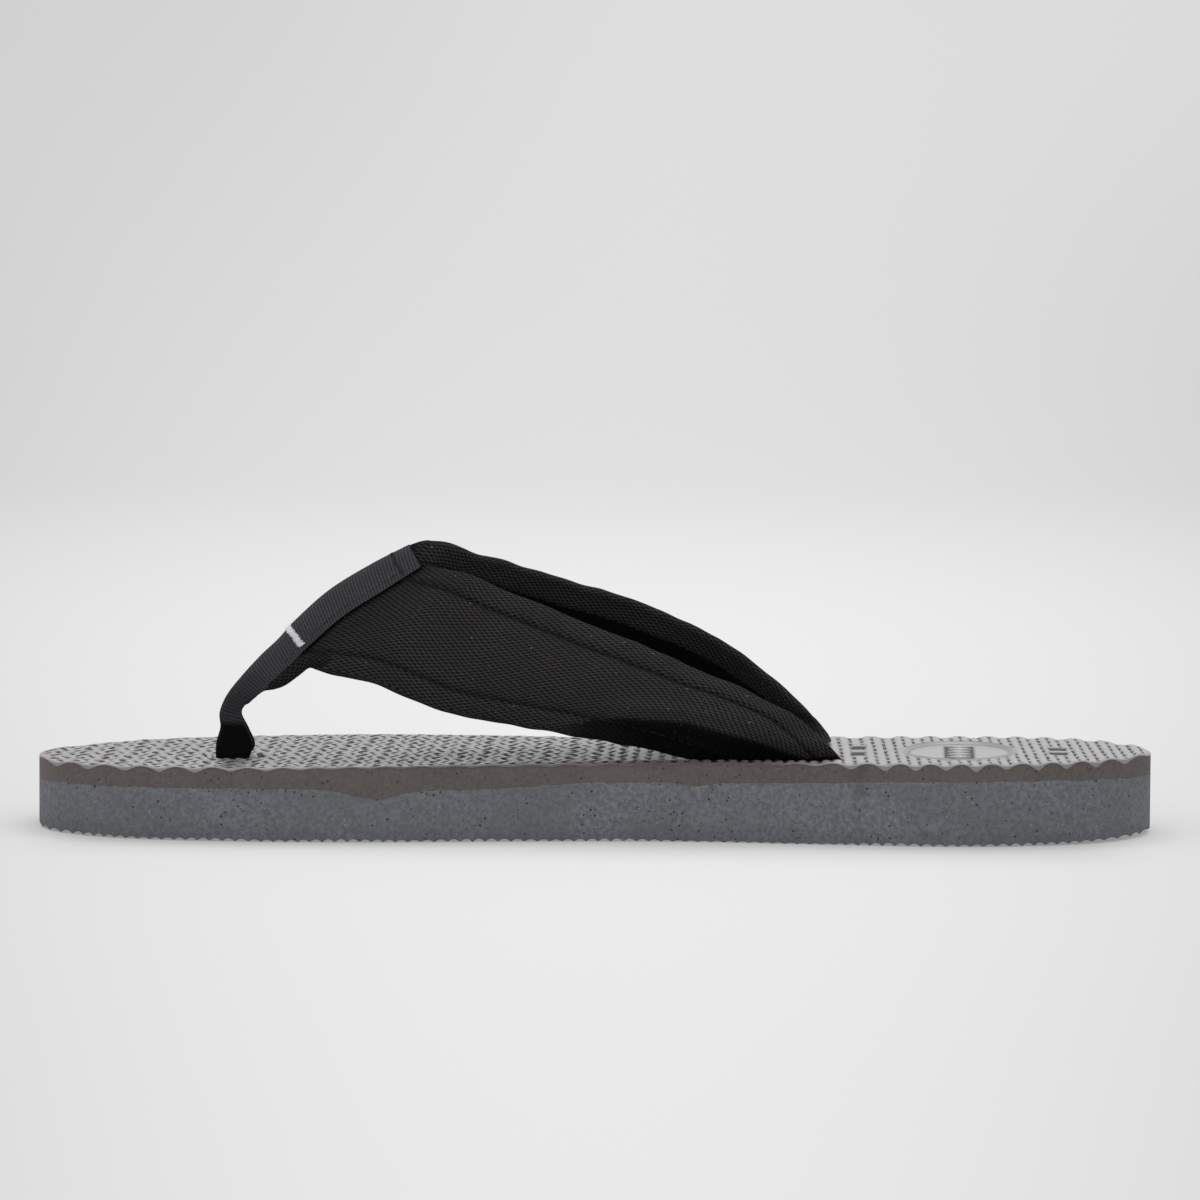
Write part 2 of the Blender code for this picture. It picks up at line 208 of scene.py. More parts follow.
def swept(name: str, sections: np.ndarray, uv: np.ndarray | None = None,
          attributes: dict[str, np.ndarray] | None = None, ring: bool = True, weld: float = 2e-6,
          sharp_degrees: float = 50.0) -> bpy.types.Object:
    """A surface through a row of sections, shaped from a grid primitive.

    Args:
        name: the piece's name.
        sections: points in mm, as [section, point, xyz].
        uv: two numbers in mm for each point, as [section, point, uv]; a ring's first point is
            repeated at the end, so that the seam keeps its place.
        attributes: one number for each point, as [section, point], by name.
        ring: whether each section closes on itself.
        weld: distance in metres under which points are merged.
        sharp_degrees: edges sharper than this stay sharp.

    Returns:
        The new object, with its place in its mesh.
    """
    columns, points = sections.shape[:2]
    rows = points + 1 if ring else points
    deselect_all()
    bpy.ops.mesh.primitive_grid_add(x_subdivisions=columns - 1, y_subdivisions=rows - 1, size=1.0)
    obj = bpy.context.object
    obj.name = name
    obj.data.name = name
    mesh = obj.data
    place = np.empty(len(mesh.vertices) * 3)
    mesh.vertices.foreach_get("co", place)
    place = place.reshape(-1, 3)
    i = np.rint((place[:, 0] + 0.5) * (columns - 1)).astype(int)
    j = np.rint((place[:, 1] + 0.5) * (rows - 1)).astype(int)
    mesh.vertices.foreach_set("co", (sections[i, j % points] * MM).ravel())
    for key, values in (attributes or {}).items():
        set_attribute(obj, key, values[i, j % points])
    corner = np.empty(len(mesh.loops), dtype=int)
    mesh.loops.foreach_get("vertex_index", corner)
    layer = mesh.uv_layers[0] if mesh.uv_layers else mesh.uv_layers.new(name="UVMap")
    layer.name = "cloth"
    if uv is not None:
        layer.data.foreach_set("uv", uv[i[corner], j[corner]].astype(np.float32).ravel())
    activate(obj)
    bpy.ops.object.mode_set(mode="EDIT")
    bpy.ops.mesh.select_all(action="SELECT")
    bpy.ops.mesh.remove_doubles(threshold=weld)
    bpy.ops.mesh.select_all(action="DESELECT")
    if ring:
        bpy.ops.mesh.select_mode(type="EDGE")
        bpy.ops.mesh.select_non_manifold(extend=False, use_wire=False, use_multi_face=False,
                                         use_non_contiguous=False, use_verts=False)
        bpy.ops.mesh.edge_face_add()
        bpy.ops.mesh.select_mode(type="VERT")
    bpy.ops.mesh.select_all(action="SELECT")
    bpy.ops.mesh.normals_make_consistent(inside=False)
    bpy.ops.object.mode_set(mode="OBJECT")
    bpy.ops.object.shade_smooth_by_angle(angle=math.radians(sharp_degrees))
    return obj


def apply_modifiers(obj: bpy.types.Object) -> None:
    """Apply every modifier of an object, in order.

    Args:
        obj: the object.
    """
    activate(obj)
    for modifier in list(obj.modifiers):
        bpy.ops.object.modifier_apply(modifier=modifier.name)


def thread_template() -> tuple[np.ndarray, list[tuple[int, ...]]]:
    """A plump stitch 1 long and 1 thick along X, shaped from a cylinder.

    Returns:
        Its points and its faces.
    """
    deselect_all()
    bpy.ops.mesh.primitive_cylinder_add(vertices=THREAD_SIDES, radius=0.5, depth=1.0, end_fill_type="NGON",
                                        rotation=(0.0, math.pi / 2, 0.0))
    obj = bpy.context.object
    bpy.ops.object.transform_apply(location=False, rotation=True, scale=False)
    bpy.ops.object.mode_set(mode="EDIT")
    bpy.ops.mesh.select_all(action="SELECT")
    bpy.ops.mesh.subdivide(number_cuts=THREAD_CUTS, quadcorner="STRAIGHT_CUT")
    bpy.ops.object.mode_set(mode="OBJECT")
    points = np.array([v.co[:] for v in obj.data.vertices])
    faces = [tuple(p.vertices) for p in obj.data.polygons]
    taper = np.sqrt(np.clip(1.0 - (np.abs(points[:, 0]) * THREAD_TAPER) ** 2, 0.02, 1.0))
    reach = np.maximum(np.linalg.norm(points[:, 1:], axis=1, keepdims=True), 1e-6)
    points[:, 1:] *= np.where(reach > 0.05, 0.5 / reach, 1.0) * taper[:, None]
    bpy.data.objects.remove(obj, do_unlink=True)
    return points, faces


@dataclass(frozen=True)
class Stitch:
    """One visible length of thread, in mm."""

    middle: np.ndarray
    along: np.ndarray
    outward: np.ndarray
    length: float
    thickness: float
    lift: float = 0.0


def threads(name: str, stitches: Sequence[Stitch]) -> bpy.types.Object:
    """All the stitches of a row as one object, each with its own few faces.

    Args:
        name: the piece's name.
        stitches: where and how each of them lies.

    Returns:
        The new object.
    """
    shape, faces = thread_template()
    points: list[np.ndarray] = []
    loops: list[tuple[int, ...]] = []
    for stitch in stitches:
        x = stitch.along / np.linalg.norm(stitch.along)
        z = stitch.outward - x * float(stitch.outward @ x)
        z /= np.linalg.norm(z)
        y = np.cross(z, x)
        size = shape * (stitch.length, stitch.thickness, stitch.thickness)
        place = stitch.middle + z * stitch.lift
        start = len(points) * len(shape)
        points.append(size @ np.array([x, y, z]) + place)
        loops.extend(tuple(start + k for k in face) for face in faces)
    mesh = bpy.data.meshes.new(name)
    mesh.from_pydata((np.concatenate(points) * MM).tolist(), [], loops)
    mesh.update()
    obj = bpy.data.objects.new(name, mesh)
    bpy.context.scene.collection.objects.link(obj)
    activate(obj)
    bpy.ops.object.mode_set(mode="EDIT")
    bpy.ops.mesh.select_all(action="SELECT")
    bpy.ops.mesh.normals_make_consistent(inside=False)
    bpy.ops.object.mode_set(mode="OBJECT")
    bpy.ops.object.shade_smooth()
    return obj


# ---------------------------------------------------------------------------------------------
# Materials
# ---------------------------------------------------------------------------------------------
class Signal:
    """A socket of a material; arithmetic on it adds Math nodes."""

    def __init__(self, graph: "Graph", socket: bpy.types.NodeSocket) -> None:
        """Wrap a socket of a graph."""
        self.graph = graph
        self.socket = socket

    def math(self, operation: str, *values: "Signal | float") -> "Signal":
        """A Math node on this value and others."""
        return self.graph.node("ShaderNodeMath", {"operation": operation},
                               dict(enumerate((self, *values))))

    def __add__(self, other: "Signal | float") -> "Signal":
        """Sum."""
        return self.math("ADD", other)

    __radd__ = __add__

    def __mul__(self, other: "Signal | float") -> "Signal":
        """Product."""
        return self.math("MULTIPLY", other)

    __rmul__ = __mul__

    def __sub__(self, other: "Signal | float") -> "Signal":
        """Difference."""
        return self.math("SUBTRACT", other)

    def __rsub__(self, other: float) -> "Signal":
        """A number less this value."""
        return self.math("MULTIPLY", -1.0) + other

    def ease(self, low: float, high: float) -> "Signal":
        """0 at low, 1 at high and smooth between them."""
        return self.graph.node("ShaderNodeMapRange", {"interpolation_type": "SMOOTHSTEP"},
                               {0: self, 1: low, 2: high, 3: 0.0, 4: 1.0})

    def wave(self, period: float, shift: float = 0.0) -> "Signal":
        """Sine of this value, from -1 to 1, that repeats after period."""
        return (self * (math.tau / period) + shift).math("SINE")


class Graph:
    """A material with one Principled shader, and helpers that add nodes to it."""

    def __init__(self, name: str) -> None:
        """Start a material.

        Args:
            name: what it is called.
        """
        self.material = bpy.data.materials.new(name)
        self.material.use_nodes = True
        self.tree = self.material.node_tree
        self.tree.nodes.clear()
        self.shader = self.tree.nodes.new("ShaderNodeBsdfPrincipled")
        output = self.tree.nodes.new("ShaderNodeOutputMaterial")
        self.tree.links.new(self.shader.outputs[0], output.inputs[0])

    def feed(self, socket: bpy.types.NodeSocket, value: object) -> None:
        """Link a signal to a socket, or set the socket's own value.

        Args:
            socket: an input of a node.
            value: a signal, a colour or a number.
        """
        if isinstance(value, Signal):
            self.tree.links.new(value.socket, socket)
        elif isinstance(value, tuple) and len(value) == 3 and socket.type == "RGBA":
            socket.default_value = (*value, 1.0)
        else:
            socket.default_value = value

    def node(self, kind: str, settings: dict[str, object] | None = None,
             inputs: dict[int | str, object] | None = None, output: int | str = 0) -> Signal:
        """Add a node.

        Args:
            kind: its Blender type.
            settings: its own properties, set first.
            inputs: what each socket holds, by name or place.
            output: the output that is wanted.

        Returns:
            That output.
        """
        made = self.tree.nodes.new(kind)
        for key, value in (settings or {}).items():
            setattr(made, key, value)
        for key, value in (inputs or {}).items():
            self.feed(made.inputs[key], value)
        return Signal(self, made.outputs[output])

    def finish(self, **sockets: object) -> bpy.types.Material:
        """Set the shader's sockets.

        Args:
            sockets: what each one holds, with _ for a space in its name.

        Returns:
            The material.
        """
        for key, value in sockets.items():
            self.feed(self.shader.inputs[key.replace("_", " ")], value)
        return self.material

    def place(self) -> Signal:
        """Object coordinates, in metres."""
        return self.node("ShaderNodeTexCoord", output="Object")

    def cloth_uv(self) -> Signal:
        """The piece's own cloth map: mm along it and mm across it."""
        return self.node("ShaderNodeUVMap", {"uv_map": "cloth"})

    def axes(self, vector: Signal) -> tuple[Signal, Signal, Signal]:
        """Take a vector apart.

        Args:
            vector: the vector.

        Returns:
            Its three numbers.
        """
        first = self.node("ShaderNodeSeparateXYZ", inputs={0: vector})
        node = first.socket.node
        return first, Signal(self, node.outputs[1]), Signal(self, node.outputs[2])

    def attribute(self, name: str) -> Signal:
        """A number stored on the piece's vertices."""
        return self.node("ShaderNodeAttribute", {"attribute_name": name}, output="Fac")

    def noise(self, vector: Signal, size: float, detail: float = 2.0, rough: float = 0.5) -> Signal:
        """Noise from 0 to 1 with grains about size across, in the vector's unit."""
        return self.node("ShaderNodeTexNoise", inputs={"Vector": vector, "Scale": 1.0 / size,
                                                       "Detail": detail, "Roughness": rough})

    def specks(self, vector: Signal, spacing: float, radius: float, share: float,
               flat: bool = False) -> Signal:
        """1 inside round specks.

        Args:
            vector: the place.
            spacing: distance between places where a speck may be.
            radius: a speck's radius.
            share: how many of those places have one, from 0 to 1.
            flat: whether the place is a cloth map, which has two axes.

        Returns:
            The mask.
        """
        distance = self.node("ShaderNodeTexVoronoi", {"voronoi_dimensions": "2D" if flat else "3D"},
                             {"Vector": vector, "Scale": 1.0 / spacing})
        cell = Signal(self, distance.socket.node.outputs["Color"])
        draw = self.node("ShaderNodeSeparateColor", inputs={0: cell})
        size = Signal(self, draw.socket.node.outputs[1]) * 0.7 + 0.3
        inside = (distance * (spacing / radius) - size).ease(0.15, -0.15)
        return inside * draw.math("LESS_THAN", share)

    def mix(self, factor: Signal | float, first: object, second: object) -> Signal:
        """A colour between two colours."""
        return self.node("ShaderNodeMix", {"data_type": "RGBA"}, {0: factor, 6: first, 7: second}, 2)

    def between(self, factor: Signal | float, color: Color, low: float, high: float) -> Signal:
        """A colour between two tones of one colour."""
        return self.mix(factor, scaled(color, low), scaled(color, high))

    def over(self, mask: Signal | float, under: Signal, color: Color, tone: float) -> Signal:
        """A lighter or darker tone of a colour, laid over what is under it."""
        return self.mix(mask, under, scaled(color, tone))

    def strewn(self, place: Signal, under: Signal, color: Color,
               kinds: Sequence["Specks"]) -> tuple[Signal, list[Signal]]:
        """Strew specks over a shade.

        Args:
            place: object coordinates.
            under: the shade.
            color: the colour that the specks are tones of.
            kinds: the kinds of specks, the last one on top.

        Returns:
            The new shade, and where each kind lies.
        """
        masks = [self.specks(place, kind.spacing, kind.radius, kind.share) for kind in kinds]
        for kind, mask in zip(kinds, masks):
            under = self.over(mask * kind.strength, under, color, kind.tone)
        return under, masks

    def relief(self, height: Signal, depth: float, strength: float = 1.0) -> Signal:
        """A normal for a height from 0 to 1 that stands for depth metres."""
        return self.node("ShaderNodeBump", inputs={"Strength": strength, "Distance": depth, "Height": height})


def scaled(color: Color, factor: float) -> Color:
    """A colour made lighter or darker."""
    return tuple(min(1.0, channel * factor) for channel in color)


@dataclass(frozen=True)
class Specks:
    """One kind of round specks in foam, with its spacing and radius in metres."""

    spacing: float
    radius: float
    share: float
    strength: float
    tone: float


@dataclass(frozen=True)
class StainAndLowShade:
    """A dark drip stain on the wall near the heel, and painted shade that darkens the foam towards the tread,
    in metres.
    """

    x: float = 0.0672
    fade: tuple[float, float] = (0.0032, 0.0004)
    height: tuple[float, float] = (0.0105, 0.0135)
    grain_size: float = 0.0012
    # painted shade: the foam darkens below these heights, towards the tread
    tread: tuple[float, float] = (0.0060, 0.0)
    low_shade_share: float = 0.35

    def mask(self, g: Graph, place: Signal) -> Signal:
        """Find the drip stain and the painted shade towards the tread.

        Args:
            g: the material.
            place: object coordinates.

        Returns:
            How dark it is, from 0 to 1.
        """
        x, _, z = g.axes(place)
        drip = (x - self.x).math("ABSOLUTE").ease(*self.fade) * z.ease(*self.height)
        # painted shade towards the tread
        low = z.ease(*self.tread) * self.low_shade_share
        return (drip * g.noise(place, self.grain_size, 2.0)).math("MAXIMUM", low)


@dataclass(frozen=True)
class OutsoleFinish:
    """Blue-grey expanded foam: fine cells, faint mottling, black and pale specks."""

    color: Color = (0.150, 0.158, 0.174)
    roughness: float = 0.82
    cloud_size: float = 0.022
    grain_size: float = 0.0011
    cell_size: float = 0.0004
    pit_depth: float = 0.00012
    # how strongly the drip stain and the painted shade towards the tread darken the outsole
    stain_and_shade: float = 0.70
    specks: tuple[Specks, ...] = (
        Specks(spacing=0.0016, radius=0.00024, share=0.70, strength=0.45, tone=2.2),
        Specks(spacing=0.0010, radius=0.00027, share=0.90, strength=0.50, tone=0.36),
        Specks(spacing=0.0018, radius=0.00031, share=0.85, strength=0.92, tone=0.08),
    )

    def material(self) -> bpy.types.Material:
        """Build the finish.

        Returns:
            Its material.
        """
        g = Graph("outsole_foam")
        place = g.place()
        cloud = g.noise(place, self.cloud_size, 3.0)
        grain = g.noise(place, self.grain_size, 2.0, 0.65)
        cells = g.noise(place, self.cell_size, 1.0)
        shade = g.between(cloud.ease(0.3, 0.7), self.color, 0.88, 1.14)
        shade = g.over(grain.ease(0.3, 0.7), shade, self.color, 0.68)
        shade, (_, faint, black) = g.strewn(place, shade, self.color, self.specks)
        shade = g.over(StainAndLowShade().mask(g, place) * self.stain_and_shade, shade, self.color, 0.30)
        pits = (cells * 0.6 + grain * 0.5) - (black + faint) * 0.6
        return g.finish(Base_Color=shade, Roughness=self.roughness, Specular_IOR_Level=0.35,
                        Normal=g.relief(pits, self.pit_depth, 0.55))


@dataclass(frozen=True)
class FootbedFinish:
    """Brown-grey foam: a matte cut edge, and on top a satin moulded skin with pitted grooves, with painted
    sheen and shade.
    """

    edge: Color = (0.104, 0.087, 0.083)
    # the skin's colour is lighter than the cut edge's partly as painted sheen, the reflection off the satin
    # top at a low angle
    skin: Color = (0.215, 0.203, 0.212)
    edge_roughness: float = 0.84
    skin_roughness: float = 0.40
    pit_pitch: float = 9.0
    cloud_size: float = 0.016
    grain_size: float = 0.0011
    fine_size: float = 0.00035
    wear_size: float = 0.007
    wander_size: float = 0.006
    groove_depth: float = 0.00030
    specks: tuple[Specks, ...] = (
        Specks(spacing=0.0018, radius=0.00024, share=0.60, strength=0.45, tone=2.4),
        Specks(spacing=0.0011, radius=0.00027, share=0.80, strength=0.45, tone=0.4),
        Specks(spacing=0.0021, radius=0.00030, share=0.80, strength=0.85, tone=0.1),
    )

    def grooves(self, g: Graph, place: Signal, crest: Signal) -> Signal:
        """Find the pitted grooves between the ribs.

        Args:
            g: the material.
            place: object coordinates.
            crest: how high each rib is, from 0 to 1.

        Returns:
            Their depth, from 0 to 1, which also sets the painted shade in them.
        """
        x, y, _ = g.axes(place)
        heel_crest = crest + x.ease(0.040, 0.062) * 0.24
        shift = (g.attribute("rib") + 0.5).math("FLOOR") * 2.3 + g.noise(place, self.wander_size, 2.0) * 2.4
        middle = x.ease(-0.088, -0.050) * x.ease(0.040, 0.005)
        across = (y * (math.tau / (self.pit_pitch * MM)) + shift).math("SINE")
        pit = (across + middle * 0.35).ease(-0.45, 0.0)
        worn = g.noise(place, self.wear_size, 2.0).ease(0.25, 0.5) * 0.4 + 0.6
        deepest = crest.ease(0.25, 0.05) * 0.35
        return (heel_crest.ease(0.80, 0.56) * pit * worn).math("MAXIMUM", deepest) * g.attribute("pattern")

    def cut_edge(self, g: Graph, place: Signal, grain: Signal, cloud: Signal) -> Signal:
        """Colour the cut edge.

        Args:
            g: the material.
            place: object coordinates.
            grain: the foam's fine grain.
            cloud: its broad mottling.

        Returns:
            Its colour.
        """
        shade = g.mix(grain.ease(0.3, 0.7) * 0.8, self.edge, scaled(self.edge, 0.70))
        shade = g.over(cloud.ease(0.35, 0.7) * 0.4, shade, self.edge, 1.22)
        shade, _ = g.strewn(place, shade, self.edge, self.specks)
        return g.over(StainAndLowShade().mask(g, place) * 0.5, shade, self.edge, 0.30)

    def material(self) -> bpy.types.Material:
        """Build the finish.

        Returns:
            Its material.
        """
        g = Graph("footbed_foam")
        place = g.place()
        skin = g.attribute("skin")
        grain = g.noise(place, self.grain_size, 2.0, 0.65)
        cloud = g.noise(place, self.cloud_size, 3.0)
        fine = g.noise(place, self.fine_size, 2.0)
        crest = (g.attribute("rib") * math.pi).math("SINE").math("ABSOLUTE")
        groove = self.grooves(g, place, crest)
        # the grooves and the recessed marks, which are darkened below
        shaded_dent = groove.math("MAXIMUM", g.attribute("mark"))
        top = g.between(cloud.ease(0.3, 0.7), self.skin, 0.90, 1.1)
        # painted highlight: the rib crests are lighter, as where they catch the light
        top = g.over(crest.ease(0.5, 0.95) * g.attribute("pattern") * 0.7, top, self.skin, 1.65)
        # painted sheen: the smooth badge plate is lighter
        top = g.over(g.attribute("plate") * 0.85, top, self.skin, 1.75)
        # painted shade in the grooves and the toe hole's dip; the dashes and the badge frame are dark marks
        top = g.over(shaded_dent * 0.98, top, self.skin, 0.04)
        shade = g.mix(skin, self.cut_edge(g, place, grain, cloud), top)
        rough = (self.skin_roughness - self.edge_roughness) * skin + self.edge_roughness
        rough = rough + (cloud - 0.5) * 0.12 + shaded_dent * 0.25
        height = (fine * 0.6 + grain * 0.5) * 0.3 - groove
        return g.finish(Base_Color=shade, Roughness=rough, Specular_IOR_Level=0.5,
                        Coat_Weight=skin * (1.0 - shaded_dent) * 0.75, Coat_Roughness=0.28, Coat_IOR=1.5,
                        Normal=g.relief(height, self.groove_depth, 0.6))


@dataclass(frozen=True)
class CanvasFinish:
    """Black canvas of thick ribs crossed by fine yarns, whose floats stand out as rows of dots.

    Its sizes are in mm, as the cloth map's are.
    """

    color: Color = (0.0230, 0.0210, 0.0222)
    fuzz: Color = (0.14, 0.135, 0.14)
    motes: Color = (0.30, 0.29, 0.30)
    rib_pitch: float = 1.08
    yarn_pitch: float = 1.07
    wander_size: float = 9.0
    slub_size: float = 1.0
    cloud_size: float = 14.0
    dark: float = 0.10
    light: float = 2.35
    relief_depth: float = 0.00045

    def material(self) -> bpy.types.Material:
        """Build the finish.

        Returns:
            Its material.
        """
        g = Graph("canvas")
        uv = g.cloth_uv()
        wander = g.noise(uv, self.wander_size, 2.0) - 0.5
        u, v, _ = g.axes(uv)
        ribs = (u + wander * 1.1).wave(2 * self.rib_pitch)
        yarn = ribs * (v + wander * 0.6).wave(self.yarn_pitch) * 0.5 + 0.5
        rib = ribs.math("ABSOLUTE")
        slub = g.noise(uv, self.slub_size, 3.0, 0.65)
        cloud = g.noise(uv, self.cloud_size, 2.0)
        light = yarn.ease(0.12, 0.80) * (slub * 0.9 + 0.36) + rib * 0.06
        shade = g.between(light, self.color, self.dark, self.light)
        shade = g.over(slub.ease(0.5, 0.8) * 0.25, shade, self.color, 1.7)
        shade = g.over(cloud.ease(0.35, 0.75) * 0.3, shade, self.color, 0.6)
        # painted shade: the seams' creases, the turned-under fold, the cloth under the tape's rear edge and
        # the hem ends behind the tape
        shade = g.over(g.attribute("seam").math("MINIMUM", 1.0) * 0.96, shade, self.color, 0.03)
        shade = g.mix(g.specks(uv, 2.9, 0.15, 0.5, flat=True) * 0.55, shade, self.fuzz)
        shade = g.mix(g.specks(uv, 8.0, 0.22, 0.5, flat=True) * 0.8, shade, self.motes)
        height = yarn * 0.8 + rib * 0.3 + slub * 0.25
        return g.finish(Base_Color=shade, Roughness=0.95, Specular_IOR_Level=0.09, Sheen_Weight=0.015,
                        Sheen_Roughness=0.5, Sheen_Tint=(0.6, 0.58, 0.6, 1.0),
                        Normal=g.relief(height, self.relief_depth, 1.0))


@dataclass(frozen=True)
class TapeFinish:
    """Grosgrain tape: fine cross ribs with a soft shine, darker towards the sole; sizes in mm."""

    color: Color = (0.0590, 0.0565, 0.0630)
    shadow: Color = (0.0022, 0.0020, 0.0022)
    fuzz: Color = (0.15, 0.145, 0.15)
    rib: float = 0.84
    yarn: float = 0.86
    yarn_lean: float = 1.7
    wander_size: float = 5.0
    slub_size: float = 0.9
    cloud_size: float = 7.0
    relief_depth: float = 0.00020

    def material(self) -> bpy.types.Material:
        """Build the finish.

        Returns:
            Its material.
        """
        g = Graph("grosgrain_tape")
        uv = g.cloth_uv()
        u, v, _ = g.axes(uv)
        wander = g.noise(uv, self.wander_size, 2.0) - 0.5
        ribs = (u + wander * 0.15 + v * 0.22).wave(self.rib) * 0.5 + 0.5
        yarns = (u + v * 0.5).wave(self.yarn_lean) * (v + wander * 0.3).wave(self.yarn) * 0.5 + 0.5
        slub = g.noise(uv, self.slub_size, 3.0, 0.6)
        cloud = g.noise(uv, self.cloud_size, 2.0)
        dark = g.attribute("shade")
        shade = g.between(ribs.ease(0.1, 0.9), self.color, 0.52, 1.22)
        shade = g.over((1.0 - yarns.ease(0.3, 0.75)) * (dark * 0.6 + 0.2), shade, self.color, 0.5)
        shade = g.over(slub.ease(0.45, 0.8) * 0.4, shade, self.color, 1.5)
        shade = g.over(cloud.ease(0.4, 0.75) * 0.35, shade, self.color, 0.62)
        shade = g.mix(dark, shade, self.shadow)
        shade = g.mix(g.specks(uv, 4.0, 0.15, 0.4, flat=True) * 0.6, shade, self.fuzz)
        height = ribs * 0.4 + yarns * 0.5 + slub * 0.5
        return g.finish(Base_Color=shade, Roughness=0.72, Specular_IOR_Level=0.06,
                        Normal=g.relief(height, self.relief_depth, 0.8))


@dataclass(frozen=True)
class ThreadFinish:
    """Spun sewing thread with a little fuzz."""

    name: str
    color: Color
    grain_size: float = 0.00025
    twist_size: float = 0.0011

    def material(self) -> bpy.types.Material:
        """Build the finish.

        Returns:
            Its material.
        """
        g = Graph(self.name)
        place = g.place()
        grain = g.noise(place, self.grain_size, 2.0)
        twist = g.noise(place, self.twist_size, 2.0)
        shade = g.between(grain.ease(0.3, 0.7), self.color, 0.72, 1.12)
        shade = g.over(twist.ease(0.45, 0.75) * 0.3, shade, self.color, 0.6)
        return g.finish(Base_Color=shade, Roughness=0.75, Specular_IOR_Level=0.2, Sheen_Weight=0.03,
                        Normal=g.relief(grain, 0.00006, 0.7))


@dataclass(frozen=True)
class RubberFinish:
    """Dark moulded rubber with a fine satin grain and scuffs."""

    color: Color = (0.030, 0.030, 0.032)
    grain_size: float = 0.0005
    scuff_size: float = 0.004

    def material(self) -> bpy.types.Material:
        """Build the finish.

        Returns:
            Its material.
        """
        g = Graph("plug_rubber")
        place = g.place()
        grain = g.noise(place, self.grain_size, 3.0)
        scuff = g.noise(place, self.scuff_size, 4.0, 0.7)
        shade = g.mix(scuff.ease(0.45, 0.75), self.color, scaled(self.color, 1.9))
        return g.finish(Base_Color=shade, Roughness=scuff * 0.25 + 0.42, Normal=g.relief(grain, 0.00005, 0.6))


@dataclass(frozen=True)
class LiningFinish:
    """Smooth close-woven lining next to the foot; sizes in mm."""

    # near black, darker than the canvas: black cloth, darkened further as painted shade in the gap between
    # the wings
    color: Color = (0.0030, 0.0027, 0.0030)
    twill_pitch: float = 0.7
    slub_size: float = 1.1

    def material(self) -> bpy.types.Material:
        """Build the finish.

        Returns:
            Its material.
        """
        g = Graph("lining")
        uv = g.cloth_uv()
        u, v, _ = g.axes(uv)
        twill = (u + v).wave(self.twill_pitch) * 0.5 + 0.5
        slub = g.noise(uv, self.slub_size, 3.0)
        shade = g.between(twill, self.color, 0.65, 1.3)
        shade = g.over(slub.ease(0.5, 0.8) * 0.4, shade, self.color, 1.8)
        return g.finish(Base_Color=shade, Roughness=0.95, Specular_IOR_Level=0.05,
                        Normal=g.relief(twill * 0.7 + slub * 0.3, 0.00012, 0.8))


# ---------------------------------------------------------------------------------------------
# Sole
# ---------------------------------------------------------------------------------------------
OUTLINE = (
    (-140.0, -6.4), (-137.0, -23.5), (-130.0, -34.9), (-115.0, -44.3), (-90.0, -48.8), (-60.0, -48.3),
    (-30.0, -44.1), (0.0, -39.8), (30.0, -38.1), (60.0, -40.8), (90.0, -42.2), (112.0, -37.6),
    (128.0, -28.6), (137.0, -15.9), (140.0, -2.0), (137.0, 14.0), (128.0, 29.0), (112.0, 37.6),
    (90.0, 38.8), (60.0, 37.0), (30.0, 38.6), (0.0, 42.2), (-30.0, 47.0), (-60.0, 48.8),
    (-90.0, 43.4), (-115.0, 34.2), (-130.0, 20.7), (-137.0, 8.1),
)
TOP_PROFILE = ((-140.0, 16.9), (-110.0, 17.2), (-60.0, 17.6), (0.0, 18.0), (60.0, 19.2), (140.0, 19.8))
# height of the join between footbed and outsole on the wall, along the sole
JOIN_PROFILE = (
    (-140.0, 12.0), (-132.0, 12.7), (-116.0, 12.9), (-95.0, 13.1), (-70.0, 13.2), (-62.0, 12.9),
    (-56.0, 11.4), (-50.0, 10.6), (-45.0, 11.9), (-40.0, 12.8), (-22.0, 13.2), (-10.0, 14.0),
    (0.0, 14.7), (20.0, 14.8), (27.0, 13.9), (33.0, 14.7), (60.0, 15.4), (80.0, 16.0),
    (110.0, 16.2), (130.0, 15.8), (140.0, 15.2),
)
# length of one wave of the footbed's top, along the sole; each wave has three ribs
WAVE_PITCH = (
    (-140.0, 9.4), (-95.0, 9.0), (-70.0, 8.3), (-40.0, 8.3), (-10.0, 9.8), (30.0, 9.8), (50.0, 7.6),
    (80.0, 7.45), (140.0, 7.3),
)
WAVE_START = -132.2
# ridge where the canvas is turned under towards the anchor: (x, height)
TUCK_RIDGE = ((-8.0, 27.6), (1.0, 29.6), (9.0, 30.2), (17.5, 29.8), (25.0, 29.4), (33.0, 27.4), (41.0, 25.0),
              (48.0, 22.6), (54.0, 20.6))


# distance from the tape's middle plane to a wing's middle, where the tape holds it
ROOT = 1.45


def profile(points: Sequence[tuple[float, float]], x: np.ndarray | float) -> np.ndarray:
    """A value at x from (x, value) points."""
    xs, values = zip(*points)
    return np.interp(x, xs, values)


def sole_top(x: np.ndarray | float) -> np.ndarray:
    """Mean height of the footbed's top at x."""
    return profile(TOP_PROFILE, x)


def fold_plane(x: np.ndarray | float) -> np.ndarray | float:
    """Y of the toe tape's middle plane."""
    return 0.1 * x - 4.0


def tri_wave(value: np.ndarray) -> np.ndarray:
    """A zigzag between -1 and 1 that repeats after 1."""
    return 2.0 * np.abs(2.0 * (value - np.floor(value + 0.5))) - 1.0


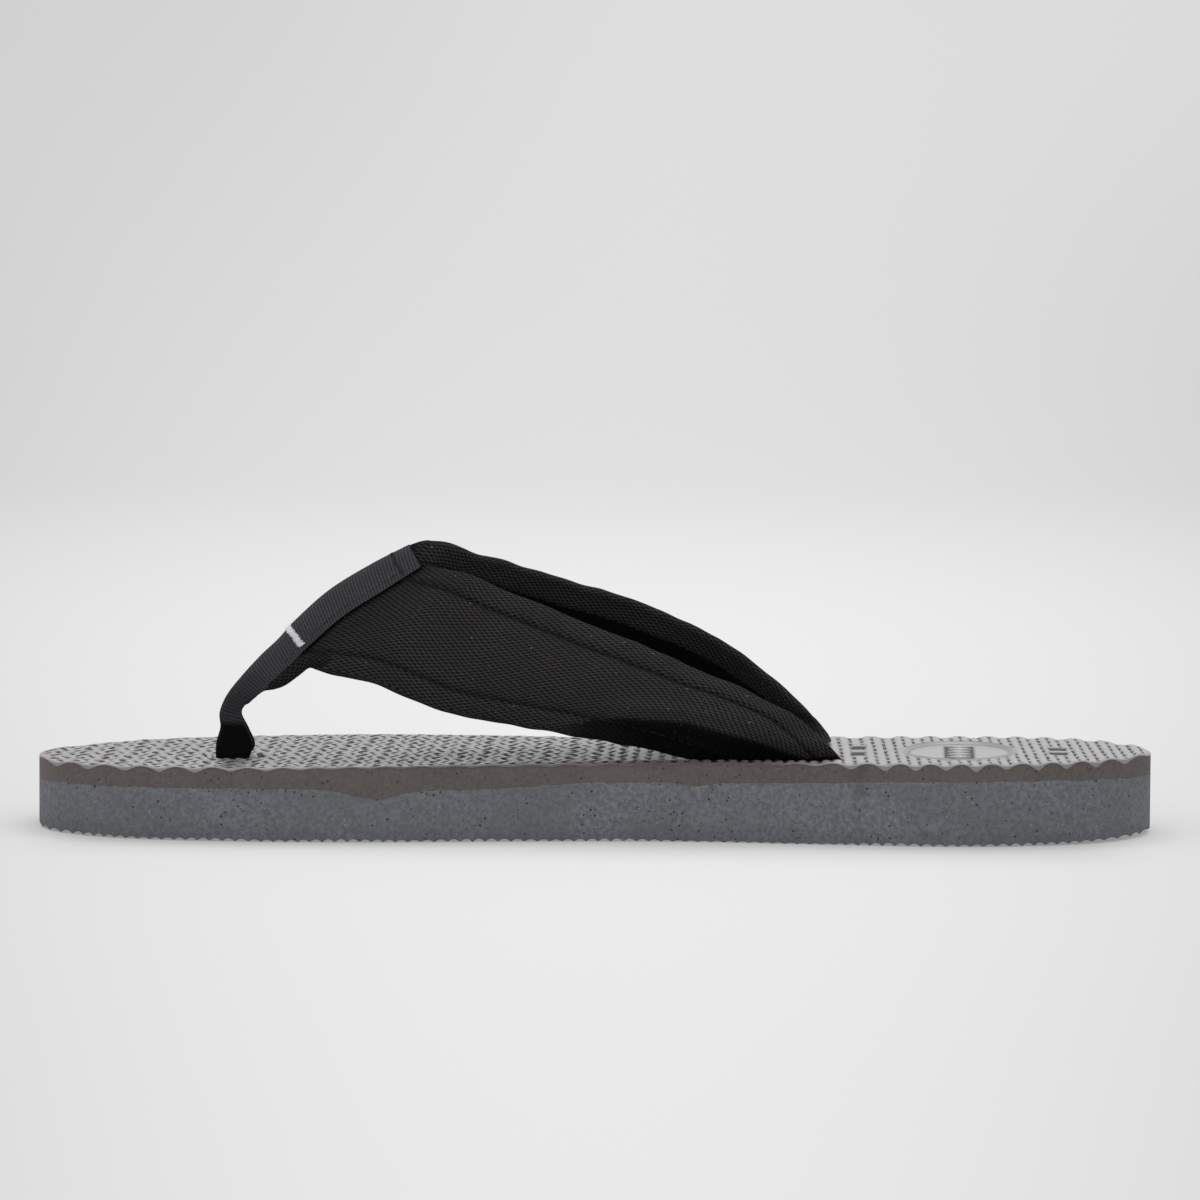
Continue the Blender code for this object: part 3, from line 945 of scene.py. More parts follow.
@dataclass
class Sole:
    """The footbed and the outsole, two foam sheets that share one outline."""

    half_length: float = 140.0
    step: float = 0.50
    top_rows: int = 104
    wall_rows: int = 9
    under_rows: int = 30
    rib_height: float = 0.62
    rib_slant: float = 0.028
    zigzag_pitch: float = 11.0
    tread_pitch: float = 3.05
    tread_depth: float = 0.85
    tread_roll: float = 0.15
    lip: tuple[tuple[float, float], ...] = (
        (0.08, -0.30), (0.24, -0.06), (0.50, 0.12), (0.76, 0.20), (0.94, 0.10), (1.00, -0.05))
    lip_inset: float = 0.6
    # how much of the top's lighter colour the lip takes, as painted light on it
    lip_painted_light: float = 0.75
    lobe_shift: float = -0.41
    hidden_shares: tuple[float, ...] = (0.0, 0.03, 0.5, 0.97, 1.0)
    hidden_depth: float = 3.6
    sheet_gap: float = 0.02
    badge_x: float = 92.0
    badge_y: float = -1.5
    badge_half: tuple[float, float] = (13.7, 23.5)
    lozenges_y: tuple[float, ...] = (-13.0, -6.5, 0.0, 6.5, 13.0)
    lozenge_half: tuple[float, float] = (3.3, 2.7)
    toe_hole: tuple[float, float] = (-89.8, -13.0)
    toe_hole_half: tuple[float, float] = (7.6, 5.4)
    # rows of dashes: (x, half length of a dash, half width of the row, which is also their pitch)
    mark_rows: tuple[tuple[float, float, float], ...] = ((66.6, 1.9, 15.5), (116.8, 2.4, 11.5))
    x: np.ndarray = field(init=False)
    near: np.ndarray = field(init=False)
    far: np.ndarray = field(init=False)

    def __post_init__(self) -> None:
        """Work out the columns: places along the sole, and the outline's two Y values there."""
        loop = smooth_curve(OUTLINE, 6000, closed=True)
        loop[:, 0] *= self.half_length / np.abs(loop[:, 0]).max()
        toe = int(np.argmin(loop[:, 0]))
        heel = (int(np.argmax(loop[:, 0])) - toe) % len(loop)
        loop = np.roll(loop, -toe, axis=0)
        near = loop[:heel + 1]
        far = np.vstack([loop[heel:], loop[:1]])[::-1]
        even = even_spacing(near, int(np.ceil(distance_along(near)[-1] / self.step)))
        self.x = even[:, 0]
        self.near = even[:, 1]
        self.far = np.interp(self.x, far[:, 0], far[:, 1])

    def rim_distance(self, y: np.ndarray) -> tuple[np.ndarray, np.ndarray]:
        """How far inside the outline points are.

        Args:
            y: place across the sole, as [column, row].

        Returns:
            Each point's distance from the medial rim and from the lateral rim.
        """
        result = []
        for rim, sign in ((self.near, 1.0), (self.far, -1.0)):
            slope = np.gradient(rim, self.x + np.arange(len(self.x)) * 1e-9)
            lean = 1.0 / np.sqrt(1.0 + slope ** 2)
            result.append(sign * (y - rim[:, None]) * lean[:, None])
        return result[0], result[1]

    def rows_across(self, count: int, edge: float) -> np.ndarray:
        """Shares from 0 to 1 across the sole, closer together at both rims."""
        t = np.linspace(-1, 1, count)
        return 0.5 + 0.5 * ((1 - edge) * t + edge * t ** 3)

    def wave_phase(self, x: np.ndarray) -> np.ndarray:
        """Count the footbed's waves.

        Args:
            x: place along the sole.

        Returns:
            How many waves lie between the first dip at the toe and each place.
        """
        fine = np.linspace(-self.half_length - 1, self.half_length + 1, 2000)
        steps = 1.0 / profile(WAVE_PITCH, fine)
        total = np.concatenate([[0.0], np.cumsum((steps[1:] + steps[:-1]) / 2 * np.diff(fine))])
        phase = np.interp(x, fine, total) - np.interp(WAVE_START, fine, total)
        return phase + self.lobe_shift * ease(x, 45.0, 78.0)

    def footbed_relief(self, x: np.ndarray, y: np.ndarray, near: np.ndarray,
                       far: np.ndarray) -> dict[str, np.ndarray]:
        """The moulded pattern of the footbed's top.

        Args:
            x: place along the sole, as [column, row].
            y: place across it.
            near: distance from the medial rim.
            far: distance from the lateral rim.

        Returns:
            Its height in mm, the count of ribs at each point, how much of the pattern each point
            shows and how much of a recessed mark it is, by name.
        """
        phase = self.wave_phase(x)
        heel = ease(x, 50.0, 64.0)
        toe = 1.0 - ease(x, -6.0, 20.0)
        zigzag = tri_wave(y / self.zigzag_pitch + 0.25 * tri_wave(x / 60.0)) * (0.30 * toe + 0.05)
        rib_phase = 3.0 * phase + zigzag + 3.0 * self.rib_slant * y / profile(WAVE_PITCH, x)
        rib = np.abs(np.sin(np.pi * rib_phase)) ** 0.5
        number = np.floor(rib_phase)
        lozenge = 0.5 + 0.5 * np.cos(math.tau * (y / self.zigzag_pitch + 0.5 * np.mod(number, 2)))
        rib_top = 1.0 - 0.40 * toe * (1.0 - lozenge)
        rim = np.exp(-near / 9.0)
        far_rim = np.exp(-far / 7.0)
        wave_size = (1.0 - heel) * (0.10 + 0.20 * ease(x, -60.0, -100.0)) * (rim + 0.3 * far_rim)
        wave_size += heel * (0.16 + 0.16 * rim + 0.12 * far_rim)
        wave = -wave_size * np.cos(math.tau * phase)
        calm = ease(near, 0.5, 2.4) * ease(far, -0.3, 0.5)
        height = self.rib_height * (rib * rib_top - 0.7) * calm + wave
        height += 0.8 * bump(x, -5.0, 60.0) * bump(near, 5.0, 5.5)
        height += 0.55 * np.exp(-near / 8.0) - 0.25 * np.exp(-far / 12.0)
        return self.badge_relief(x, y, {"height": height, "rib": rib_phase, "pattern": calm,
                                        "mark": np.zeros_like(x)})

    def badge_relief(self, x: np.ndarray, y: np.ndarray,
                     relief: dict[str, np.ndarray]) -> dict[str, np.ndarray]:
        """Add the plain oval badge at the heel, the rows of dashes beside it and the toe hole's dip.

        Args:
            x: place along the sole, as [column, row].
            y: place across it.
            relief: what footbed_relief found.

        Returns:
            The same numbers with these features.
        """
        height, pattern, mark = relief["height"], relief["pattern"], relief["mark"]
        half_x, half_y = self.badge_half
        along, across = x - self.badge_x, y - self.badge_y
        oval = np.sqrt((along / half_x) ** 2 + (across / half_y) ** 2)
        around = ease(oval, 1.13, 1.03)
        height = height * (1.0 - around) + 0.05 * around
        pattern = pattern * (1.0 - around)
        plate = ease(oval, 1.0, 0.93)
        height += 0.40 * bump(oval, 1.0, 0.035) - 0.45 * plate
        lozenges = np.zeros_like(x)
        for centre in self.lozenges_y:
            reach = np.abs(along) / self.lozenge_half[0] + np.abs(across - centre) / self.lozenge_half[1]
            lozenges = np.maximum(lozenges, ease(reach, 1.08, 0.85))
        height += 0.45 * lozenges
        frame = ease(np.abs(along), 4.2, 3.6) * ease(np.abs(across), 17.0, 16.0)
        mark = np.maximum(mark, frame * (1.0 - lozenges) * 0.95)
        mark = np.maximum(mark, bump(oval, 0.92, 0.018) * 0.7)
        for row_x, half, reach in self.mark_rows:
            block = ease(np.abs(x - row_x), half + 0.3, half - 0.3) * ease(np.abs(across), reach, reach - 0.8)
            dash = block * ease(np.cos(math.tau * across / reach), 0.35, 0.05)
            pattern = pattern * (1.0 - block)
            height = height * (1.0 - 0.9 * block) - 0.12 * dash
            mark = np.maximum(mark, dash)
        hole = np.hypot((x - self.toe_hole[0]) / self.toe_hole_half[0],
                        (y - self.toe_hole[1]) / self.toe_hole_half[1])
        height -= 2.0 * ease(hole, 1.25, 0.7)
        # painted shade: the toe hole's dip is marked dark
        mark = np.maximum(mark, ease(hole, 1.10, 0.8))
        return {"height": height, "rib": relief["rib"], "pattern": pattern, "mark": mark, "plate": plate}

    def wall_noise(self, z: np.ndarray, rim: np.ndarray, seed: float) -> np.ndarray:
        """Slight unevenness of the cut edge.

        Args:
            z: heights of the wall's points, as [column, row].
            rim: the wall's place across the sole, at each column.
            seed: shifts the noise.

        Returns:
            How far each point stands out, in mm.
        """
        points = together(self.x[:, None], rim[:, None], z * 2.5)
        return 0.10 * soft_noise(points, 16.0, seed) + 0.05 * soft_noise(points, 5.0, seed + 7)

    def axis(self) -> np.ndarray:
        """A point on the X axis for each column."""
        return together(self.x, 0.0, 0.0)

    def hidden_face(self, depth: float) -> np.ndarray:
        """The face between the sheets, which meets the wavy join at both walls.

        Args:
            depth: how far its middle lies under the sole's top.

        Returns:
            Its heights, as [column, row].
        """
        wobble = 0.22 * soft_noise(self.axis(), 4.0, 3.0) + 0.15 * soft_noise(self.axis(), 1.6, 9.0)
        join = (profile(JOIN_PROFILE, self.x) + wobble)[:, None]
        flat = sole_top(self.x)[:, None] - depth
        low = np.minimum(join, flat)
        return np.hstack([join, low, flat, low, join])

    def assemble(self, name: str, top: np.ndarray, under: np.ndarray, share_top: np.ndarray,
                 share_under: np.ndarray, extra: dict[str, np.ndarray],
                 lip: Sequence[tuple[float, float]], droop: np.ndarray, inset: float,
                 roll_under: float) -> bpy.types.Object:
        """Close a top and an underside with two walls.

        Args:
            name: the piece's name.
            top: heights of the top, as [column, row].
            under: heights of the underside.
            share_top: where the top's rows lie across the sole, from 0 to 1.
            share_under: the same for the underside.
            extra: per-point numbers for the top's rows, by name; 0 elsewhere, but the lip gets a skin share
                that paints light on it.
            lip: the moulded lip's outline, as how far each row is below the top and out of the wall.
            droop: how far the lip hangs down at each column, as a share of its outline.
            inset: how far inside the wall the top's outer rows lie.
            roll_under: how far the bottom edge is rounded inwards.

        Returns:
            The piece.
        """
        width = (self.far - self.near)[:, None]
        narrow = np.clip(width / 12.0, 0, 1)
        drop = np.array([below for below, _ in lip])[None, :] * droop[:, None]
        out = np.array([reach for _, reach in lip])
        top_y = self.near[:, None] + inset * narrow + (width - 2 * inset * narrow) * share_top
        under_y = self.near[:, None] + width * share_under
        pieces = [together(self.x[:, None], top_y, top)]
        for rim, column, order in ((self.far, -1, 1), (self.near, 0, -1)):
            start = top[:, column][:, None]
            low = under[:, column][:, None]
            high = start - (drop[:, -1:] if lip else 0.0)
            z = high + (low - high) * np.linspace(0, 1, self.wall_rows + 2)[1:-1]
            outward = self.wall_noise(z, rim, 11.0) - roll_under * np.exp(-(z - low) / 0.5)
            if lip:
                z = np.hstack([start - drop, z])
                outward = np.hstack([np.broadcast_to(out, (len(self.x), len(out))), outward])
            y = rim[:, None] + order * outward * narrow
            wall = together(self.x[:, None], y, z)
            pieces.append(wall if order == 1 else wall[:, ::-1])
            if order == 1:
                pieces.append(together(self.x[:, None], under_y, under)[:, ::-1])
        sections = np.concatenate(pieces, axis=1)
        attributes = {}
        for key, values in extra.items():
            full = np.zeros(sections.shape[:2])
            full[:, :values.shape[1]] = values
            if key == "skin" and lip:
                # painted light and shade: the lip takes the top's lighter colour at the toe and heel, and
                # little of it in the middle, where it lies in shade
                pale = self.lip_painted_light * (1.0 - 0.85 * ease(self.x, -78.0, -52.0) * ease(self.x, 66.0, 48.0))
                full[:, values.shape[1]:values.shape[1] + len(lip) - 1] = pale[:, None]
                full[:, -(len(lip) - 1):] = pale[:, None]
            attributes[key] = full
        return swept(name, sections, attributes=attributes, sharp_degrees=60.0)

    def grid(self, share: np.ndarray) -> tuple[np.ndarray, np.ndarray]:
        """Spread rows across the sole.

        Args:
            share: where each row lies, from 0 at the medial rim to 1 at the lateral one.

        Returns:
            The places along and across the sole, as [column, row].
        """
        y = self.near[:, None] + (self.far - self.near)[:, None] * share
        return np.broadcast_to(self.x[:, None], y.shape), y

    def build_footbed(self) -> bpy.types.Object:
        """The upper sheet, with its moulded top and the lip that droops over its cut edge.

        Returns:
            The piece.
        """
        share = self.rows_across(self.top_rows, 0.14)
        x, y = self.grid(share)
        relief = self.footbed_relief(x, y, *self.rim_distance(y))
        top = sole_top(x) + 0.25 + relief["height"]
        under = self.hidden_face(self.hidden_depth) + self.sheet_gap
        extra = {key: relief[key] for key in ("rib", "pattern", "mark", "plate")}
        extra["skin"] = np.ones_like(y)
        return self.assemble("footbed", top, under, share, np.array(self.hidden_shares), extra, self.lip,
                             self.lip_droop(), self.lip_inset, 0.0)

    def lip_droop(self) -> np.ndarray:
        """How far the lip hangs over the cut edge, with one lobe at each wave.

        Returns:
            Its length at each column, in mm.
        """
        phase = self.wave_phase(self.x) + 0.10 * soft_noise(self.axis(), 13.0, 60.0)
        off = phase - np.round(phase)
        lobe = np.exp(-(np.abs(off) / 0.20) ** 1.8) * (1.0 + 0.45 * soft_noise(self.axis(), 9.0, 40.0))
        size = 0.25 + 0.50 * ease(self.x, -68.0, -98.0) + 0.80 * ease(self.x, 52.0, 72.0)
        size *= ease(self.x, 139.0, 134.0)
        return 0.34 + size * lobe + 0.12 * soft_noise(self.axis(), 3.6, 44.0)

    def tread(self, x: np.ndarray, y: np.ndarray) -> np.ndarray:
        """The ribbed underside.

        Args:
            x: place along the sole.
            y: place across it.

        Returns:
            Its height over the ground.
        """
        worn = 1.0 - 0.55 * bump(x, 42.0, 22.0)
        sway = 0.10 * np.sin(math.tau * y / 17.0)
        wobble = 0.06 * np.sin(x / 9.0) + 0.05 * np.sin(x / 3.7 + 1.0)
        ribs = np.abs(np.sin(np.pi * (x / self.tread_pitch + sway + wobble))) ** 0.85
        depth = self.tread_depth * worn * (0.85 + 0.15 * np.sin(x / 5.3))
        rise = 0.12 * ease(x, -112.0, -self.half_length) + 0.75 * ease(x, 105.0, self.half_length)
        return depth * ribs + rise

    def build_outsole(self) -> bpy.types.Object:
        """The lower sheet, with its serrated underside.

        Returns:
            The piece.
        """
        share = self.rows_across(self.under_rows, 0.0)
        top = self.hidden_face(self.hidden_depth + 0.1) - self.sheet_gap
        return self.assemble("outsole", top, self.tread(*self.grid(share)), np.array(self.hidden_shares),
                             share, {}, (), np.ones_like(self.x), 0.0, self.tread_roll)

    def cut_pockets(self, outsole: bpy.types.Object, plugs: Sequence["Plug"]) -> None:
        """Cut the plugs' pockets in the underside.

        Args:
            outsole: the lower sheet.
            plugs: the plugs.
        """
        for plug in plugs:
            deselect_all()
            bpy.ops.mesh.primitive_cylinder_add(
                vertices=72, radius=(plug.radius + plug.clearance) * MM,
                depth=2 * (plug.high + plug.headroom) * MM,
                location=(plug.x * MM, plug.y * MM, 0.0))
            cutter = bpy.context.object
            cut = outsole.modifiers.new("pocket", "BOOLEAN")
            cut.operation = "DIFFERENCE"
            cut.solver = "EXACT"
            cut.object = cutter
            apply_modifiers(outsole)
            bpy.data.objects.remove(cutter, do_unlink=True)

    def build(self, plugs: Sequence["Plug"]) -> list[bpy.types.Object]:
        """Build, dress and place both sheets.

        Args:
            plugs: the plugs, whose pockets are cut in the outsole.

        Returns:
            The footbed and the outsole.
        """
        footbed = self.build_footbed()
        footbed.data.materials.append(FootbedFinish().material())
        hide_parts("footbed_front", "footbed_rear")
        outsole = self.build_outsole()
        self.cut_pockets(outsole, plugs)
        outsole.data.materials.clear()
        outsole.data.materials.append(OutsoleFinish().material())
        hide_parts("outsole_front", "outsole_rear")
        for piece in (footbed, outsole):
            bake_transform(piece)
        return [footbed, outsole]


@dataclass
class Plug:
    """A rubber plug in the underside."""

    name: str
    body: str
    x: float = field(init=False)
    y: float = field(init=False)
    radius: float = field(init=False)
    low: float = field(init=False)
    high: float = 4.4
    clearance: float = 0.35
    headroom: float = 0.4
    # the head's steps from its rim inwards: (width, how far the rest is pushed up)
    steps: tuple[tuple[float, float], ...] = (
        (1.1, 0.0), (0.5, 0.45), (2.0, 0.0), (0.5, -0.3), (1.2, 0.0), (0.5, 0.35))

    def __post_init__(self) -> None:
        """Take the plug's place and size from its CAD node."""
        low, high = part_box(self.name)
        self.x = (low[0] + high[0]) / 2 / MM
        self.y = (low[1] + high[1]) / 2 / MM
        self.radius = (high[0] - low[0]) / 2 / MM
        self.low = low[2] / MM

    def build(self, material: bpy.types.Material) -> bpy.types.Object:
        """A disc with a rounded rim and a raised ring round a shallow cup.

        Args:
            material: the rubber.

        Returns:
            The piece.
        """
        deselect_all()
        depth = (self.high - self.low) * MM
        middle = (self.x * MM, self.y * MM, self.low * MM + depth / 2)
        bpy.ops.mesh.primitive_cylinder_add(vertices=64, radius=self.radius * MM, depth=depth,
                                            location=middle)
        obj = bpy.context.object
        obj.name = self.name + "_head"
        bpy.ops.object.transform_apply(location=True, rotation=True, scale=True)
        bpy.ops.object.mode_set(mode="EDIT")
        bpy.ops.mesh.select_all(action="DESELECT")
        bpy.ops.object.mode_set(mode="OBJECT")
        for face in obj.data.polygons:
            face.select = face.normal.z < -0.9
        bpy.ops.object.mode_set(mode="EDIT")
        bpy.ops.mesh.select_mode(type="FACE")
        for inset, shift in self.steps:
            bpy.ops.mesh.inset(thickness=inset * MM, depth=0.0)
            bpy.ops.transform.translate(value=(0.0, 0.0, shift * MM))
        bpy.ops.mesh.select_all(action="SELECT")
        bpy.ops.mesh.normals_make_consistent(inside=False)
        bpy.ops.object.mode_set(mode="OBJECT")
        bevel = obj.modifiers.new("soft_edges", "BEVEL")
        bevel.width = 0.25 * MM
        bevel.segments = 3
        bevel.limit_method = "ANGLE"
        apply_modifiers(obj)
        bpy.ops.object.shade_smooth_by_angle(angle=math.radians(40))
        obj.data.materials.append(material)
        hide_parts(self.name)
        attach(obj, self.body)
        return obj


# ---------------------------------------------------------------------------------------------
# Toe tape
# ---------------------------------------------------------------------------------------------
TAPE_FRONT = (
    (-94.2, 9.8), (-94.7, 17.3), (-94.6, 21.0), (-93.6, 24.9), (-93.8, 28.6), (-92.0, 33.0), (-88.3, 37.8),
    (-83.4, 43.2), (-79.2, 47.2), (-74.8, 52.1), (-66.3, 59.7), (-56.2, 66.0), (-46.6, 71.0),
)
TAPE_REAR = (
    (-87.4, 9.8), (-86.6, 17.1), (-85.2, 20.4), (-86.8, 24.6), (-88.5, 28.4), (-86.8, 31.0), (-82.4, 34.3),
    (-78.2, 38.4), (-74.8, 42.0), (-70.4, 46.4), (-62.3, 53.4), (-52.4, 59.8), (-43.4, 65.6),
)
# the lower hems' ends, which roll together behind the tape: (x, height, radius)
HEM_END = (
    (-87.4, 30.6, 0.5), (-86.0, 32.4, 0.8), (-83.2, 35.1, 1.2), (-80.2, 36.2, 1.7), (-78.1, 37.3, 2.0),
    (-75.2, 39.7, 2.2), (-72.0, 41.8, 2.0), (-68.0, 42.0, 1.7), (-63.5, 41.6, 1.2),
)


def bend_with_strap(obj: bpy.types.Object) -> None:
    """Bake a strap piece's transform into its mesh."""
    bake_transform(obj)


@dataclass
class ToeTape:
    """The folded tape over the wings' front edges, its inner web and its bar tacks."""

    rings: int = 230
    fine: int = 1000
    inner_half: float = 2.0
    thickness: float = 0.75
    nose_squash: float = 0.85
    flap_taper: float = 0.10
    tack_share: float = 0.722
    top_tack_share: float = 0.962
    row_share: tuple[float, float] = (0.62, 0.985)
    row_reach: float = 0.78
    web_points: int = 16
    hem_points: int = 28
    hem_round: float = 12.0

    def edges(self, count: int) -> tuple[np.ndarray, np.ndarray]:
        """Matched points of the front and rear edge."""
        return smooth_curve(TAPE_FRONT, count), smooth_curve(TAPE_REAR, count)

    def half_width(self, share: np.ndarray) -> np.ndarray:
        """Half the tape's outer width across the fold.

        Args:
            share: place along the tape, from 0 at the hole to 1 at its top.

        Returns:
            The half width there, in mm.
        """
        flare = 0.5 * bump(share, 0.10, 0.07)
        pinch = -0.35 * bump(share, 0.34, 0.08)
        return self.inner_half + self.thickness + flare + pinch

    def flap(self, half: float, reaches: np.ndarray, depth: float) -> list[tuple[float, float]]:
        """One flap of the fold, in its own section: (distance back from the nose, distance out)."""
        return [(reach, half * (1 - self.flap_taper * (reach / depth) ** 4)) for reach in reaches]

    def nose(self, half: float, start: float, degrees: np.ndarray) -> list[tuple[float, float]]:
        """The round front of the fold, in the same section."""
        turns = [math.radians(angle) for angle in degrees]
        return [(start + half * self.nose_squash * (1 - math.cos(t)), half * math.sin(t)) for t in turns]

    def section(self, front: np.ndarray, rear: np.ndarray, outer: float, wall: float,
                cover: float = 1.0) -> tuple[np.ndarray, np.ndarray]:
        """A U-shaped section, open at the rear, and the distance along it.

        Args:
            front: the fold's nose in side view.
            rear: where its two edges end.
            outer: half of its outer width.
            wall: its thickness.
            cover: share of the depth that it reaches back.

        Returns:
            The ring of points, and each point's distance along the ring in mm.
        """
        depth = float(np.linalg.norm(rear - front))
        back = (rear - front) / depth
        degrees = np.linspace(-90, 90, 13)
        reaches = np.linspace(cover * depth, outer * self.nose_squash, 9)[:-1]
        inner = outer - wall
        shape = self.flap(outer, reaches, depth) + self.nose(outer, 0.0, degrees[::-1])
        shape += self.flap(-outer, reaches[::-1], depth) + self.flap(-inner, reaches, depth)
        shape += self.nose(inner, wall, degrees) + self.flap(inner, reaches[::-1], depth)
        flat = np.array(shape)
        place = front + back * flat[:, :1]
        ring = together(place[:, 0], fold_plane(place[:, 0]) + flat[:, 1], place[:, 1])
        return ring, distance_along(np.vstack([flat, flat[:1]]))

    def build_outer(self) -> bpy.types.Object:
        """The folded tape itself.

        Returns:
            The piece.
        """
        front, rear = self.edges(self.rings)
        share = np.linspace(0, 1, self.rings)
        along = distance_along((front + rear) / 2)
        rings, across = [], []
        for f, r, half in zip(front, rear, self.half_width(share)):
            ring, distance = self.section(f, r, half, self.thickness)
            rings.append(ring)
            across.append(distance)
        sections = np.array(rings)
        lump = soft_noise(sections, 7.0, 21.0) * 0.22
        middle = sections.mean(axis=1, keepdims=True)
        sections = sections + (sections - middle) * (lump[..., None] * np.array([0.03, 0.35, 0.03]))
        uv = together(along[:, None], np.array(across))
        dark = np.maximum(ease(share, 0.325, 0.255), 0.42 * ease(share, 0.62, 0.40))
        dark = dark[:, None] * np.ones(sections.shape[1])
        obj = swept("toe_tape_folded", sections, uv=uv, attributes={"shade": dark})
        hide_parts("toe_tape_outer")
        return obj

    def build_core(self) -> bpy.types.Object:
        """The inner web, which fills the fold where it makes the toe post.

        Returns:
            The piece.
        """
        front, rear = self.edges(self.rings)
        share = np.linspace(0, 1, self.rings)
        half = 0.35 + 1.2 * ease(share, 0.60, 0.52)
        rings = []
        for f, r, h in zip(front, rear, half):
            near = f + (r - f) * 0.28
            far = f + (r - f) * 0.985
            corner = []
            for angle in np.linspace(0, math.tau, self.web_points, endpoint=False):
                reach = 0.5 + 0.5 * np.sign(math.cos(angle)) * abs(math.cos(angle)) ** 0.5
                out = h * np.sign(math.sin(angle)) * abs(math.sin(angle)) ** 0.5
                x, z = near + (far - near) * reach
                corner.append((x, fold_plane(x) + out, z))
            rings.append(corner)
        sections = np.array(rings)
        uv = together(np.arange(self.rings)[:, None] * 0.45, np.arange(self.web_points + 1.0) * 0.8)
        dark = np.maximum(ease(share, 0.36, 0.28), 0.5)[:, None] * np.ones(self.web_points)
        obj = swept("toe_web", sections, uv=uv, attributes={"shade": dark})
        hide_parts("toe_tape_core")
        return obj

    def tack_stitches(self, share: float, slant: float, pitch: float, length: float, cover: float,
                      thickness: float = 0.5, lift: float = 0.12) -> list[Stitch]:
        """Threads side by side over the fold, which make one bar tack.

        Args:
            share: place along the tape, from 0 at the sole to 1 at its top.
            slant: how far each thread leans, in mm.
            pitch: distance between threads.
            length: length of a thread along the tape.
            cover: share of each flap that the tack covers.
            thickness: a thread's thickness.
            lift: how far its middle stands over the tape.

        Returns:
            The threads.
        """
        front, rear = self.edges(self.fine + 1)
        at = int(share * self.fine)
        along2 = front[at + 4] - front[at - 4]
        along2 /= np.linalg.norm(along2)
        outer = float(self.half_width(np.array([share]))[0])
        ring, distance = self.section(front[at], rear[at], outer, self.thickness, cover)
        count = len(ring) // 2
        line, total = ring[:count], distance[count - 1]
        centre = line.mean(axis=0)
        along = np.array([along2[0], 0.1 * along2[0], along2[1]])
        result = []
        rng = random.Random(5)
        for step in np.arange(pitch / 2, total, pitch):
            place = points_at(step, distance[:count], line)
            tangent = points_at(step + 0.2, distance[:count], line) - place
            tangent /= max(1e-6, float(np.linalg.norm(tangent)))
            outward = np.cross(tangent, along)
            if float(outward @ (place - centre)) < 0:
                outward = -outward
            lean = along * length + tangent * slant
            place = place + along * rng.uniform(-0.12, 0.12)
            result.append(Stitch(place, lean, outward, length * rng.uniform(0.92, 1.08), thickness, lift))
        return result

    def edge_stitches(self) -> list[Stitch]:
        """The black row that holds each flap to the wing under it.

        Returns:
            Its stitches, on both flaps.
        """
        front, rear = self.edges(self.fine + 1)
        result = []
        for side in (-1.0, 1.0):
            place_on = []
            for share in np.linspace(*self.row_share, 400):
                at = int(share * self.fine)
                outer = float(self.half_width(np.array([share]))[0])
                x, z = front[at] + (rear[at] - front[at]) * self.row_reach
                place_on.append((x, fold_plane(x) + side * outer * 0.97, z))
            line = np.array(place_on)
            result.extend(stitch_row(line, lambda _: np.array([0.0, side, 0.0]), 2.3, 1.75, 0.26, 0.0))
        return result

    def build_hem_end(self, side: Side) -> bpy.types.Object:
        """The end of one wing's lower hem, rolled up behind the tape down to the toe post.

        Args:
            side: the wing.

        Returns:
            The piece, which still needs its canvas.
        """
        line = smooth_curve(HEM_END, 60)
        along = distance_along(line[:, :2])
        slope = np.gradient(line[:, :2], axis=0)
        slope /= np.linalg.norm(slope, axis=1, keepdims=True)
        turn = np.linspace(0, math.tau, self.hem_points, endpoint=False)
        centre = ROOT - 0.35 * ease(along, 6.0, 0.0)
        half = np.minimum(line[:, 2] * 0.8, 1.25)
        ends = np.sqrt(np.clip(np.minimum(along / 0.8, (along[-1] - along) / 0.8), 0.001, 1))
        up = np.sin(turn) * (line[:, 2] * ends)[:, None]
        out = centre[:, None] + np.cos(turn) * (half * ends)[:, None]
        x = line[:, :1] - slope[:, 1:] * up
        z = line[:, 1:2] + slope[:, :1] * up
        sections = together(x, fold_plane(x) + side.value * out, z)
        sections += 0.14 * soft_noise(sections, 3.5, 8.0)[..., None]
        uv = together(along[:, None] * 1.35, np.linspace(0, self.hem_round, self.hem_points + 1))
        # painted shade: the rolled end lies in shade behind the tape, darkest near the toe post
        dark = np.maximum(0.35, 0.75 * ease(along, 8.0, 1.0))[:, None] * np.ones(self.hem_points)
        obj = swept(side.name.lower() + "_hem_end", sections, uv=uv, attributes={"seam": dark})
        bend_with_strap(obj)
        return obj

    def build(self) -> list[bpy.types.Object]:
        """Build, dress and place the tape's pieces.

        Returns:
            The pieces.
        """
        tape = TapeFinish().material()
        outer = self.build_outer()
        core = self.build_core()
        for piece in (outer, core):
            piece.data.materials.append(tape)
        front_tack = self.tack_stitches(self.tack_share, slant=0.35, pitch=0.40, length=1.9, cover=0.80)
        bright = threads("front_bar_tack_thread", front_tack)
        bright.data.materials.append(ThreadFinish("white_thread", (0.80, 0.79, 0.80)).material())
        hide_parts("front_bar_tack")
        tonal = ThreadFinish("black_thread", (0.026, 0.025, 0.0285)).material()
        top_tack = self.tack_stitches(self.top_tack_share, slant=0.2, pitch=0.36, length=1.0, cover=0.95,
                                      thickness=0.26, lift=0.0)
        top = threads("top_bar_tack_thread", top_tack)
        top.data.materials.append(tonal)
        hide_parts("top_bar_tack")
        row = threads("tape_edge_stitching", self.edge_stitches())
        row.data.materials.append(tonal)
        pieces = [outer, core, bright, top, row]
        for piece in pieces:
            bend_with_strap(piece)
        return pieces


